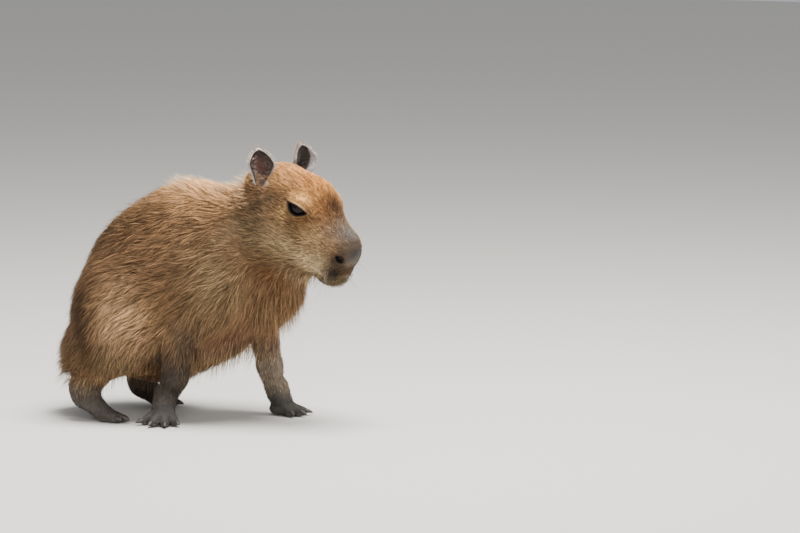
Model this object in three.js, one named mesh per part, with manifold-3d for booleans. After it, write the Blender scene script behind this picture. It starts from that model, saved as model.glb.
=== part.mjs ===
// A young capybara of about ten weeks, life size, crouched on its haunches with its fore legs
// straight and its head turned a little to its right. Millimetres, +Z up, facing +X, its left
// side to +Y, and standing on Z = 0.
// The body is one smooth union of muscle masses, drawn as a closed skin and parted with thin cuts.
import * as THREE from "three";
import { mergeVertices } from "three/addons/utils/BufferGeometryUtils.js";
import Module from "manifold-3d";

const wasm = await Module();
wasm.setup();

const { Manifold, Mesh } = wasm;
const point = (x, y, z) => new THREE.Vector3(x, y, z);
const degrees = THREE.MathUtils.degToRad;
const sides = [-1, 1]; // its right, then its left

// Driving dimensions
const partGap = 0.3; // clear space between neighbouring pieces
const headPitch = 24; // the muzzle points down by this many degrees
const headTurn = 15; // and to the animal's right by this many
const headSeat = point(77, -4, 244.5); // midway between the roots of the ears
const eyeRadius = 9.5;
const eyeSeat = point(50.5, 26.5, -4); // in the head's frame, for its left eye
const eyeSlit = [20, 9]; // length and height of the opening between the lids
const earSeat = point(1, 33.5, -5);
const earHeight = { right: 36, left: 37 };
const earCup = 12; // depth of each ear's hollow
const earFacing = { right: 28, left: -6 }; // degrees that each cup turns out from straight ahead
const earLean = 8; // degrees that each ear leans out
const clawLength = 6.5;
const headCell = 5.8; // spacing of the points on the head, the body and the feet
const bodyCell = 14;
const legCell = 7;
const hairDepth = 5.5; // from the body's core out to the tips of the hair
const lockLength = 42;
const lockWidth = 15;
const lockThickness = 3;
const lockSpacing = 23;
const lockHem = 29; // no lock hangs nearer to the floor than this
const lockCount = 127;
const footCell = 5.8;

// The head's own frame: x to the nose, y to its left, z to the crown.
const headFrame = new THREE.Matrix4()
  .makeTranslation(headSeat.x, headSeat.y, headSeat.z)
  .multiply(new THREE.Matrix4().makeRotationZ(degrees(-headTurn)))
  .multiply(new THREE.Matrix4().makeRotationY(degrees(headPitch)));
const onHead = (x, y, z) => point(x, y, z).applyMatrix4(headFrame);
function headPlace(x, y, z) {
  return headFrame.clone().multiply(new THREE.Matrix4().makeTranslation(x, y, z));
}

// The joints of each leg. A fore leg is shoulder, elbow, middle of the forearm and wrist; a hind leg
// is hip, knee, hock and ball of the foot. Heading is the way that the foot points, in degrees to
// the left of +X. Toes are listed from the outer one in, each with its turn outwards and its length.
const foreLegs = {
  right: {
    shoulder: point(34, -46, 142),
    elbow: point(-12, -50, 88),
    forearm: point(-15, -50, 46),
    wrist: point(-26, -50, 23),
    heading: -76,
    toes: { spread: [58, 20, -8, -36], length: [13, 16, 16, 12], radius: 4.9, reach: 9, rise: 5 },
  },
  left: {
    shoulder: point(44, 42, 140),
    elbow: point(42, 42, 86),
    forearm: point(49, 42, 48),
    wrist: point(56, 42, 21),
    heading: -6,
    toes: { spread: [62, 15, -10, -34], length: [13, 16, 16, 12], radius: 4.8, reach: 8, rise: 4 },
  },
};
const hindLegs = {
  right: {
    hip: point(-84, -42, 120),
    knee: point(-58, -62, 78),
    hock: point(-110, -58, 25),
    ball: point(-88, -61, 8.2),
  },
  left: {
    hip: point(-80, 42, 120),
    knee: point(-44, 58, 78),
    hock: point(-95, 54, 21),
    ball: point(-79, 54, 8.2),
  },
};
const hindToes = { spread: [17, 0, -17], length: [13, 16.5, 13], radius: 5.2, reach: 3, rise: 1.4 };

// An eye's frame: x out of the eye, y along its lids, z up.
function eyeFrame(side) {
  const out = new THREE.Matrix4().makeRotationZ(degrees(side * 72));
  return headPlace(eyeSeat.x, side * eyeSeat.y, eyeSeat.z).multiply(out);
}

// A mass is a signed distance and the width over which it blends into the ones before it.
function ellipsoidIn(frame, radii, blend) {
  const m = frame.clone().invert().elements;
  const [rx, ry, rz] = radii;
  return {
    blend,
    distance(x, y, z) {
      const px = (m[0] * x + m[4] * y + m[8] * z + m[12]) / rx;
      const py = (m[1] * x + m[5] * y + m[9] * z + m[13]) / ry;
      const pz = (m[2] * x + m[6] * y + m[10] * z + m[14]) / rz;
      const near = Math.hypot(px, py, pz);
      const slope = Math.hypot(px / rx, py / ry, pz / rz);
      return slope < 1e-9 ? -Math.min(rx, ry, rz) : (near * (near - 1)) / slope;
    },
  };
}

function ellipsoid(centre, radii, blend, turn = [0, 0, 0]) {
  const turned = new THREE.Matrix4().makeRotationFromEuler(new THREE.Euler(...turn.map(degrees), "ZYX"));
  return ellipsoidIn(turned.setPosition(centre), radii, blend);
}

// A bone's flesh: a cone with round ends, from radius a at one joint to radius b at the other.
function limb(start, end, a, b, blend) {
  const along = end.clone().sub(start);
  const length2 = along.lengthSq();
  const rise = a - b;
  const slant = length2 - rise * rise;
  return {
    blend,
    distance(x, y, z) {
      const dx = x - start.x;
      const dy = y - start.y;
      const dz = z - start.z;
      const t = dx * along.x + dy * along.y + dz * along.z;
      const u = t - length2;
      const across = point(dx, dy, dz).multiplyScalar(length2).addScaledVector(along, -t).lengthSq();
      const t2 = t * t * length2;
      const u2 = u * u * length2;
      const edge = Math.sign(rise) * rise * rise * across;
      if (Math.sign(u) * slant * u2 > edge) return Math.sqrt(across + u2) / length2 - b;
      if (Math.sign(t) * slant * t2 < edge) return Math.sqrt(across + t2) / length2 - a;
      return (Math.sqrt((across * slant) / length2) + t * rise) / length2 - a;
    },
  };
}

// A block with rounded edges.
function block(frame, half, round, blend) {
  const m = frame.clone().invert().elements;
  return {
    blend,
    distance(x, y, z) {
      const px = Math.abs(m[0] * x + m[4] * y + m[8] * z + m[12]) - half[0] + round;
      const py = Math.abs(m[1] * x + m[5] * y + m[9] * z + m[13]) - half[1] + round;
      const pz = Math.abs(m[2] * x + m[6] * y + m[10] * z + m[14]) - half[2] + round;
      const outside = Math.hypot(Math.max(px, 0), Math.max(py, 0), Math.max(pz, 0));
      return outside + Math.min(Math.max(px, py, pz), 0) - round;
    },
  };
}

const trunkMasses = [
  ellipsoid(point(-78, 0, 110), [42, 58, 58], 0, [0, -20, 0]),
  ellipsoid(point(-54, 0, 146), [60, 64, 66], 36, [0, -30, 0]),
  ellipsoid(point(-12, 0, 165), [60, 64, 72], 30, [0, -20, 0]),
  ellipsoid(point(30, 0, 156), [44, 54, 66], 26),
  limb(point(30, 0, 124), point(-56, 0, 78), 42, 45, 28),
  limb(point(0, 0, 98), point(-30, 0, 86), 43, 44, 18),
  limb(point(-96, 0, 92), point(-121, -5, 64), 46, 35, 18),
  ...sides.map((side) => limb(point(-92, side * 34, 84), point(-116, side * 28, 61), 33, 26, 20)),
];

const neckMasses = [
  limb(point(26, 0, 176), onHead(6, 0, -36), 42, 33, 22),
  limb(point(46, 0, 152), onHead(28, 0, -44), 43, 36, 20),
  limb(point(70, 0, 138), onHead(44, 0, -46), 28, 26, 18),
  ellipsoid(point(64, 2, 142), [32, 38, 43], 20),
];

const headMasses = [
  ellipsoidIn(headPlace(10, 0, -14), [32, 35, 31], 14),
  ellipsoidIn(headPlace(42, 0, -12), [36, 30, 31], 14),
  limb(onHead(46, 0, -9), onHead(92, 0, -31), 27, 20, 10),
  block(headPlace(82, 0, -38), [29, 24, 25], 16, 12),
  ellipsoidIn(headPlace(40, 0, -42), [42, 35, 31], 16),
  ellipsoidIn(headPlace(97, 0, -56), [16, 15, 13], 8),
  ...sides.map((side) => limb(onHead(52, side * 15, -24), onHead(88, side * 9, -34), 17, 15, 8)),
  ...sides.map((side) => ellipsoidIn(headPlace(24, side * 22, -36), [28, 20, 27], 16)),
  ...sides.map((side) => ellipsoidIn(headPlace(47, side * 18, -4), [18, 11, 10], 10)),
  ...sides.map((side) => ellipsoidIn(eyeFrame(side), [11.7, 13.2, 11.7], 5)),
  ...sides.map((side) => ellipsoidIn(headPlace(-8, side * 25, -6), [11, 10, 11], 8)),
  ...sides.map((side) => ellipsoidIn(headPlace(100, side * 13, -36), [11, 8, 6], 4)),
];

function shoulderMasses({ shoulder, elbow }) {
  const side = Math.sign(shoulder.y);
  return [
    ellipsoid(shoulder.clone().add(point(-12, side * 2, -2)), [34, 20, 46], 22, [0, 25, 0]),
    limb(shoulder.clone().add(point(-10, 0, -22)), elbow, 23, 14, 16),
  ];
}

const forearmMasses = ({ elbow, forearm, wrist }) => [
  limb(elbow, forearm, 14.5, 13, 10),
  limb(forearm, wrist, 13, 10.6, 6),
];

function shankMass({ knee, hock }, blend) {
  return limb(knee.clone().add(point(-6, 0, 7)), hock.clone().add(point(0, 0, 10)), 20, 14.5, blend);
}

function hindLegMasses(leg) {
  const { hip, knee } = leg;
  const side = Math.sign(hip.y);
  return [
    ellipsoid(hip.clone().lerp(knee, 0.42).add(point(-6, side * 2, -2)), [40, 25, 48], 20, [0, 30, 0]),
    limb(hip, knee, 38, 24, 18),
    shankMass(leg, 14),
  ];
}

// Where a foot's toes start and end, and the way that each points.
function toesOf(root, side, heading, { spread, length, radius, reach, rise }) {
  return spread.map((turn, i) => {
    const angle = degrees(heading + side * turn);
    const way = point(Math.cos(angle), Math.sin(angle), 0);
    const start = root.clone().addScaledVector(way, reach).setZ(radius + rise);
    const end = root.clone().addScaledVector(way, reach + length[i]).setZ(radius - 0.8);
    return { start, end, way, radius };
  });
}

function forePaw(leg) {
  const { wrist, heading, toes: table } = leg;
  const way = point(Math.cos(degrees(heading)), Math.sin(degrees(heading)), 0);
  const root = wrist.clone().addScaledVector(way, 4);
  const palm = new THREE.Matrix4().makeRotationZ(degrees(heading));
  const masses = [
    ...forearmMasses(leg),
    ellipsoidIn(palm.setPosition(wrist.x + 6 * way.x, wrist.y + 6 * way.y, 5.6), [13.5, 12.5, 7], 7),
  ];
  const toes = toesOf(root, Math.sign(wrist.y), heading, table);
  for (const toe of toes) {
    const knuckle = wrist.clone().addScaledVector(toe.way, 4).setZ(wrist.z + 9);
    masses.push(limb(knuckle, toe.start, 8, toe.radius + 1.6, 3));
    masses.push(limb(toe.start, toe.end, toe.radius + 1.4, toe.radius, 2.5));
  }
  return { masses, toes };
}

function hindPaw(leg) {
  const { hock, ball } = leg;
  const way = ball.clone().sub(hock).setZ(0).normalize();
  const heading = THREE.MathUtils.radToDeg(Math.atan2(way.y, way.x));
  const masses = [
    shankMass(leg, 0),
    limb(hock.clone().add(point(0, 0, 10)), hock, 14.5, 12, 8),
    limb(hock, ball, 12, 9, 8),
  ];
  const toes = toesOf(ball, Math.sign(ball.y), heading, hindToes);
  for (const toe of toes) masses.push(limb(toe.start, toe.end, toe.radius + 1.2, toe.radius, 4));
  return { masses, toes };
}

// Two distances as one, rounded over where they come within k of each other.
function joined(d, e, k) {
  const h = k > 0 ? Math.max(k - Math.abs(d - e), 0) / k : 0;
  return Math.min(d, e) - h * h * k * 0.25;
}

const blended = (masses) => (x, y, z) =>
  masses.reduce((d, mass) => joined(d, mass.distance(x, y, z), mass.blend), 1e6);

// The whole body down to the elbows and the hocks.
const flesh = blended([
  ...trunkMasses,
  ...neckMasses,
  ...headMasses,
  ...shoulderMasses(foreLegs.right),
  ...shoulderMasses(foreLegs.left),
  ...hindLegMasses(hindLegs.right),
  ...hindLegMasses(hindLegs.left),
]);

// The closed surface where a field is zero, inside a box: one point in each cell that the surface
// crosses, drawn onto the surface, and a quad round each crossed edge of the grid.
function skinOf(field, box, cell) {
  const size = box.getSize(point(0, 0, 0));
  const n = [size.x, size.y, size.z].map((s) => Math.ceil(s / cell) + 1);
  const at = (i, j, k) => i + n[0] * (j + n[1] * k);
  const value = new Float32Array(n[0] * n[1] * n[2]);
  for (let k = 0; k < n[2]; k++)
    for (let j = 0; j < n[1]; j++)
      for (let i = 0; i < n[0]; i++) {
        const edge = i === 0 || j === 0 || k === 0 || i === n[0] - 1 || j === n[1] - 1 || k === n[2] - 1;
        const v = field(box.min.x + i * cell, box.min.y + j * cell, box.min.z + k * cell);
        value[at(i, j, k)] = edge ? Math.max(v, cell * 0.3) : v;
      }

  joinDiagonals(value, n, cell);

  const corner = [0, 1, 2, 3, 4, 5, 6, 7].map((c) => [c & 1, (c >> 1) & 1, c >> 2]);
  const cellPoint = new Map();
  const positions = [];
  for (let k = 0; k < n[2] - 1; k++)
    for (let j = 0; j < n[1] - 1; j++)
      for (let i = 0; i < n[0] - 1; i++) {
        const v = corner.map(([a, b, c]) => value[at(i + a, j + b, k + c)]);
        const inside = v.filter((x) => x < 0).length;
        if (inside === 0 || inside === 8) continue;
        const sum = point(0, 0, 0);
        let crossings = 0;
        for (let p = 0; p < 8; p++)
          for (let axis = 0; axis < 3; axis++) {
            const q = p | (1 << axis);
            if (q === p || v[p] < 0 === v[q] < 0) continue;
            const place = point(...corner[p]);
            place.setComponent(axis, v[p] / (v[p] - v[q]));
            sum.add(place);
            crossings++;
          }
        sum.divideScalar(crossings).add(point(i, j, k)).multiplyScalar(cell).add(box.min);
        cellPoint.set(at(i, j, k), positions.length / 3);
        positions.push(...settled(field, sum, cell * 0.5).toArray());
      }

  const triangles = [];
  const corners = (a) => point(positions[3 * a], positions[3 * a + 1], positions[3 * a + 2]);
  const quad = (a, b, c, d) => {
    const shorter = corners(a).distanceTo(corners(c)) < corners(b).distanceTo(corners(d));
    triangles.push(...(shorter ? [a, b, c, a, c, d] : [b, c, d, b, d, a]));
  };
  const step = [1, n[0], n[0] * n[1]];
  for (let k = 0; k < n[2] - 1; k++)
    for (let j = 0; j < n[1] - 1; j++)
      for (let i = 0; i < n[0] - 1; i++)
        for (let axis = 0; axis < 3; axis++) {
          if ([i, j, k].some((place, other) => place === 0 && other !== axis)) continue;
          const here = at(i, j, k);
          const inner = value[here] < 0;
          if (inner === value[here + step[axis]] < 0) continue;
          const u = step[(axis + 1) % 3];
          const w = step[(axis + 2) % 3];
          const ring = [here - u - w, here - w, here, here - u].map((c) => cellPoint.get(c));
          quad(...(inner ? ring : ring.reverse()));
        }

  return new THREE.BufferGeometry()
    .setAttribute("position", new THREE.Float32BufferAttribute(positions, 3))
    .setIndex(triangles);
}

// Where two inside points of the grid only touch across a square's diagonal, the square is filled,
// so that four sheets never meet along one edge.
function joinDiagonals(value, n, cell) {
  const step = [1, n[0], n[0] * n[1]];
  for (let changed = true; changed; ) {
    changed = false;
    for (let k = 1; k < n[2] - 2; k++)
      for (let j = 1; j < n[1] - 2; j++)
        for (let i = 1; i < n[0] - 2; i++)
          for (let axis = 0; axis < 3; axis++) {
            const a = i + n[0] * (j + n[1] * k);
            const b = a + step[(axis + 1) % 3];
            const c = a + step[(axis + 2) % 3];
            const d = b + step[(axis + 2) % 3];
            const [ia, ib, ic, id] = [a, b, c, d].map((p) => value[p] < 0);
            if (ia !== id || ib !== ic || ia === ib) continue;
            const outer = ia ? (value[b] < value[c] ? b : c) : value[a] < value[d] ? a : d;
            value[outer] = -cell * 0.05;
            changed = true;
          }
  }
}

function slopeOf(field, { x, y, z }) {
  const e = 0.2;
  return point(
    field(x + e, y, z) - field(x - e, y, z),
    field(x, y + e, z) - field(x, y - e, z),
    field(x, y, z + e) - field(x, y, z - e),
  ).divideScalar(2 * e);
}

// Moves a point along the field's slope onto its zero surface, by no more than reach.
function settled(field, start, reach) {
  const p = start.clone();
  for (let round = 0; round < 4; round++) {
    const d = field(p.x, p.y, p.z);
    const slope = slopeOf(field, p);
    p.addScaledVector(slope, -d / Math.max(slope.lengthSq(), 0.1));
  }
  return start.clone().add(p.sub(start).clampLength(0, reach));
}

// A closed geometry as a solid that can be joined and cut.
function solid(geometry) {
  let merged = geometry;
  if (geometry.attributes.normal) {
    const bare = geometry.index ? geometry.toNonIndexed() : geometry.clone();
    bare.deleteAttribute("normal");
    bare.deleteAttribute("uv");
    merged = mergeVertices(bare, 1e-3);
  }
  return new Manifold(
    new Mesh({
      numProp: 3,
      vertProperties: merged.attributes.position.array,
      triVerts: new Uint32Array(merged.index.array),
    }),
  );
}

const placed = (geometry, frame) => solid(geometry.clone().applyMatrix4(frame));
const boxSolid = (min, max) => {
  const size = max.clone().sub(min);
  const centre = min.clone().add(max).divideScalar(2);
  return solid(new THREE.BoxGeometry(size.x, size.y, size.z).translate(centre.x, centre.y, centre.z));
};

// Everything on the far side of a plane, from offset past it.
function beyond(through, normal, offset) {
  const reach = 1000;
  const turned = new THREE.Quaternion().setFromUnitVectors(point(0, 0, 1), normal.clone().normalize());
  const slab = new THREE.BoxGeometry(reach, reach, reach).translate(0, 0, reach / 2 + offset);
  const frame = new THREE.Matrix4().compose(through, turned, point(1, 1, 1));
  return placed(slab, frame);
}

// A solid's largest closed surface.
function largest(made) {
  const pieces = made.decompose();
  return pieces.reduce((best, piece) => (piece.volume() > best.volume() ? piece : best), pieces[0]);
}

const group = new THREE.Group();

function add(name, made, material) {
  const mesh = largest(made).getMesh();
  const geometry = new THREE.BufferGeometry()
    .setAttribute("position", new THREE.BufferAttribute(mesh.vertProperties, 3))
    .setIndex(new THREE.BufferAttribute(mesh.triVerts, 1));
  geometry.computeVertexNormals();
  const part = new THREE.Mesh(geometry, material);
  part.name = name;
  group.add(part);
  return part;
}

const material = (color, roughness) => new THREE.MeshStandardMaterial({ color, roughness, metalness: 0 });
const coat = material(0x8a6038, 0.85);
const bareSkin = material(0x5b5350, 0.7);
const eyeDark = material(0x0d0b0c, 0.12);
const claw = material(0x2c2826, 0.45);

// Where the cuts between the nodes run.
const jawCut = { through: onHead(5, 0, -66), normal: point(0.1, 0, 0.995).transformDirection(headFrame) };
const neckCut = { through: onHead(-16, 0, 0), normal: point(0.958, 0, 0.286).transformDirection(headFrame) };
const chestCut = { through: point(30, 0, 192), normal: point(0.742, -0.105, 0.66).normalize() };
const elbowHeight = 80;
const wristHeight = 25;
const hockHeight = 31;
const thighInside = 34; // how far out from the middle the hind leg's cut runs
const thighOutline = { x: -88, z: 84, long: 62, short: 55, turn: -25 };

const half = partGap / 2;
const ground = beyond(point(0, 0, 0), point(0, 0, 1), 0);
const headSpace = (grow) =>
  beyond(neckCut.through, neckCut.normal, -grow).intersect(beyond(jawCut.through, jawCut.normal, -grow));
const above = (height) => beyond(point(0, 0, height), point(0, 0, 1), 0);

// The room round a foot up to a height, with its reach towards the middle and away from it.
function footSpace({ x, y }, inner, outer, height, grow) {
  const [low, high] = y < 0 ? [-outer, inner] : [-inner, outer];
  return boxSolid(point(x - 52, y + low, -20), point(x + 70, y + high, height + grow));
}

const foreFootSpace = ({ wrist }, grow) => footSpace(wrist, 22, 48, wristHeight, grow);
const hindFootSpace = ({ hock }, grow) => footSpace(hock, 24, 32, hockHeight, grow);
const foreLegSpace = (grow) => above(wristHeight - grow).subtract(above(elbowHeight + grow));

function hindLegSpace({ hip, knee }, grow) {
  const outline = new THREE.Shape();
  const { x, z, long, short, turn } = thighOutline;
  const shift = (hip.x + knee.x) / 2 + 72;
  outline.absellipse(x + shift, z, long + grow, short + grow, 0, 2 * Math.PI, false, degrees(turn));
  const prism = new THREE.ExtrudeGeometry(outline, { depth: 100, bevelEnabled: false, curveSegments: 9 });
  const upright = new THREE.Matrix4().makeRotationX(degrees(90));
  const inside = thighInside - grow;
  upright.premultiply(new THREE.Matrix4().makeTranslation(0, hip.y < 0 ? -inside : inside + 100, 0));
  return placed(prism, upright).intersect(above(hockHeight - grow));
}

// The head, with its sockets, lids, nostrils and mouth.
const headBox = new THREE.Box3();
for (const x of [-40, 125])
  for (const y of [-60, 60]) for (const z of [-95, 40]) headBox.expandByPoint(onHead(x, y, z));

const eyeBall = (radius) => new THREE.SphereGeometry(radius, 12, 8);

function lidOpening(side) {
  const [length, height] = eyeSlit;
  const almond = new THREE.Shape();
  almond.moveTo(-length / 2, 0);
  almond.quadraticCurveTo(0, height * 0.6, length / 2, 0);
  almond.quadraticCurveTo(0, -height * 1.3, -length / 2, 0);
  const prism = new THREE.ExtrudeGeometry(almond, { depth: 20, bevelEnabled: false, curveSegments: 5 });
  const frame = eyeFrame(side)
    .multiply(new THREE.Matrix4().makeRotationX(degrees(side * 8)))
    .multiply(new THREE.Matrix4().makeTranslation(5, 0, 0))
    .multiply(new THREE.Matrix4().makeBasis(point(0, 1, 0), point(0, 0, 1), point(1, 0, 0)));
  return placed(prism, frame);
}

function tube(path, radius, sidesOfTube, steps) {
  const ring = new THREE.Shape();
  ring.absarc(0, 0, radius, 0, 2 * Math.PI, false);
  return new THREE.ExtrudeGeometry(ring, {
    extrudePath: new THREE.CatmullRomCurve3(path),
    steps,
    curveSegments: sidesOfTube,
    bevelEnabled: false,
  });
}

const headSkin = skinOf(flesh, headBox, headCell);

function headSolid() {
  let made = largest(solid(headSkin).intersect(headSpace(-half)));
  for (const side of sides) {
    made = made.subtract(lidOpening(side));
    made = made.subtract(placed(eyeBall(eyeRadius + partGap), eyeFrame(side)));
    const turn = new THREE.Euler(degrees(side * 20), degrees(20), degrees(side * 42));
    const nostril = headPlace(107, side * 14.5, -33);
    nostril.multiply(new THREE.Matrix4().makeRotationFromEuler(turn));
    made = made.subtract(placed(new THREE.SphereGeometry(1, 10, 6).scale(9, 2.6, 3.4), nostril));
  }
  const lipLine = [[70, 26, -60], [82, 25, -57], [95, 21, -54], [106, 13, -52], [112, 0, -51]];
  const mirror = lipLine.slice(0, -1).reverse().map(([x, y, z]) => [x, -y, z]);
  const path = [...lipLine, ...mirror].map((place) => onHead(...place));
  return largest(made.subtract(solid(tube(path, 1.5, 3, 22))));
}

// An ear as a cupped leaf of two faces, drawn up from its root: at each height, how far it reaches
// towards the middle of the head and away from it.
const earOutline = {
  heights: [0, 0.2, 0.4, 0.58, 0.7, 0.8, 0.9, 1],
  right: { inward: [5, 9, 13, 15.5, 13.5, 10, 5.5, -1], outward: [4, 7, 11, 14.5, 14.3, 12.5, 10, 5] },
  left: { inward: [5, 9, 12, 14, 13.5, 12.5, 10.5, 5.5], outward: [8, 14, 18.5, 20.5, 19, 15.5, 9.5, -0.5] },
};

function ear(side) {
  const name = side < 0 ? "right" : "left";
  const { inward, outward } = earOutline[name];
  const { heights } = earOutline;
  const across = 6;
  const positions = [];
  for (const layer of [0, 1])
    heights.forEach((v, j) => {
      for (let i = 0; i <= across; i++) {
        const u = (2 * i) / across - 1;
        const y = -inward[j] + ((u + 1) / 2) * (inward[j] + outward[j]);
        const cup = earCup * (1 - v * 0.55) * (1 - u * u);
        const thick = layer * (2.6 - 1.2 * v) * (1 - 0.5 * u * u);
        positions.push(3 - cup - thick - 5 * v * v, side * y, v * earHeight[name]);
      }
    });
  const rows = heights.length;
  const at = (layer, i, j) => (layer * rows + j) * (across + 1) + i;
  const triangles = [];
  const face = (a, b, c, d) => triangles.push(...(side > 0 ? [a, b, c, a, c, d] : [a, c, b, a, d, c]));
  for (let j = 0; j < rows - 1; j++) {
    for (let i = 0; i < across; i++) {
      face(at(0, i, j), at(0, i + 1, j), at(0, i + 1, j + 1), at(0, i, j + 1));
      face(at(1, i, j), at(1, i, j + 1), at(1, i + 1, j + 1), at(1, i + 1, j));
    }
    face(at(0, 0, j), at(0, 0, j + 1), at(1, 0, j + 1), at(1, 0, j));
    face(at(0, across, j), at(1, across, j), at(1, across, j + 1), at(0, across, j + 1));
  }
  const top = rows - 1;
  for (let i = 0; i < across; i++) {
    face(at(0, i, 0), at(1, i, 0), at(1, i + 1, 0), at(0, i + 1, 0));
    face(at(0, i, top), at(0, i + 1, top), at(1, i + 1, top), at(1, i, top));
  }
  const geometry = new THREE.BufferGeometry()
    .setAttribute("position", new THREE.Float32BufferAttribute(positions, 3))
    .setIndex(triangles);
  const frame = headPlace(earSeat.x, side * earSeat.y, earSeat.z)
    .multiply(new THREE.Matrix4().makeRotationX(degrees(-side * earLean)))
    .multiply(new THREE.Matrix4().makeRotationZ(degrees(side * earFacing[name])))
    .multiply(new THREE.Matrix4().makeRotationY(degrees(-headPitch * 0.5)));
  return placed(geometry, frame);
}

function clawSolid({ end, way, radius }) {
  const profile = [new THREE.Vector2(0, 0)];
  for (const t of [0, 0.45, 0.8]) {
    profile.push(new THREE.Vector2((radius - 1.4) * Math.sqrt(1 - t * t), clawLength * t));
  }
  profile.push(new THREE.Vector2(0, clawLength));
  const lean = way.clone().multiplyScalar(clawLength).add(point(0, 0, -1.2)).normalize();
  const turned = new THREE.Quaternion().setFromUnitVectors(point(0, 1, 0), lean);
  const root = end.clone().addScaledVector(way, radius - 1.5).setZ(end.z - 0.4);
  const pose = new THREE.Matrix4().compose(root, turned, point(1, 1, 1));
  return placed(new THREE.LatheGeometry(profile, 6), pose);
}

function toeCut(toe, offset) {
  return beyond(toe.end.clone().addScaledVector(toe.way, toe.radius - 1.6), toe.way, offset);
}

const bodyBox = new THREE.Box3(point(-190, -120, -12), point(200, 120, 290));


// A closed geometry with every point moved out by a distance.
function grown(geometry, field, distance) {
  const wider = geometry.clone();
  const { position } = wider.attributes;
  for (let i = 0; i < position.count; i++) {
    const p = point(0, 0, 0).fromBufferAttribute(position, i);
    p.addScaledVector(slopeOf(field, p).normalize(), distance);
    position.setXYZ(i, p.x, p.y, p.z);
  }
  return wider;
}

// The long coat: the body's core lies under the outline of the hair's tips, by a depth that runs
// out towards the head, the elbows and the hocks and grows at the rump, the throat and the belly.
const smooth = (t) => THREE.MathUtils.smoothstep(t, 0, 1);
const hump = (x, y, z, centre, reach) =>
  Math.exp(-((x - centre.x) ** 2 + (y - centre.y) ** 2 + (z - centre.z) ** 2) / reach ** 2);
const forearms = Object.values(foreLegs).map(({ elbow, wrist }) => limb(elbow, wrist, 14, 11, 0));
const shanks = Object.values(hindLegs).map(({ hock, ball }) => limb(hock, ball, 13, 9, 0));

function coatDepth(x, y, z) {
  const p = point(x, y, z);
  const behindHead = -Math.min(
    p.clone().sub(neckCut.through).dot(neckCut.normal),
    p.clone().sub(jawCut.through).dot(jawCut.normal),
  );
  const offLegs = Math.min(...forearms.map((bone) => bone.distance(x, y, z)));
  const offFeet = Math.min(...shanks.map((bone) => bone.distance(x, y, z)));
  const fade = smooth((behindHead + 5) / 24) * smooth((offLegs - 2) / 24) * smooth((offFeet - 6) / 30);
  const extra =
    hump(x, y, z, point(-138, -6, 58), 42) * 7 +
    hump(x, y, z, point(92, 0, 140), 34) * 3 +
    hump(x, y, z, point(-10, 0, 60), 50) * 3;
  return (hairDepth + extra) * fade;
}

const core = (x, y, z) => flesh(x, y, z) + coatDepth(x, y, z);

// The way that the hair lies: places on the animal's left side, each with its direction there.
const lies = [
  [40, 0, 228, -1, 0, -0.05],
  [0, 0, 236, -1, 0, -0.1],
  [-60, 0, 222, -1, 0, -0.45],
  [-110, 0, 175, -0.6, 0, -1],
  [-145, 0, 110, -0.2, 0, -1],
  [-150, 0, 60, -0.8, 0, -0.7],
  [50, 45, 190, -0.8, 0, -0.55],
  [80, 30, 170, -0.5, 0, -0.9],
  [25, 62, 150, -0.75, 0, -0.65],
  [-40, 64, 145, -0.85, 0, -0.5],
  [-80, 66, 120, -0.6, 0.1, -0.8],
  [-70, 74, 78, -0.6, 0.1, -0.8],
  [-120, 50, 70, -0.7, 0, -0.7],
  [100, 0, 140, -0.15, 0, -1],
  [80, 25, 110, -0.2, 0, -1],
  [0, 0, 62, -0.6, 0, -0.8],
  [40, 0, 84, -0.5, 0, -0.9],
  [30, 50, 110, -0.3, 0, -1],
];

function lieAt(p) {
  const mirror = p.y < 0 ? -1 : 1;
  const way = point(0, 0, 0);
  for (const [x, y, z, dx, dy, dz] of lies) {
    const weight = 1 / (((p.x - x) ** 2 + (p.y * mirror - y) ** 2 + (p.z - z) ** 2) ** 1.5 + 1);
    way.addScaledVector(point(dx, dy * mirror, dz).normalize(), weight);
  }
  return way.normalize();
}

// A repeatable run of random numbers.
function randomRun(seed) {
  let state = seed;
  return (low = 0, high = 1) => {
    state = (state + 0x6d2b79f5) | 0;
    let t = Math.imul(state ^ (state >>> 15), 1 | state);
    t = (t + Math.imul(t ^ (t >>> 7), 61 | t)) ^ t;
    return low + (((t ^ (t >>> 14)) >>> 0) / 4294967296) * (high - low);
  };
}

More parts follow.
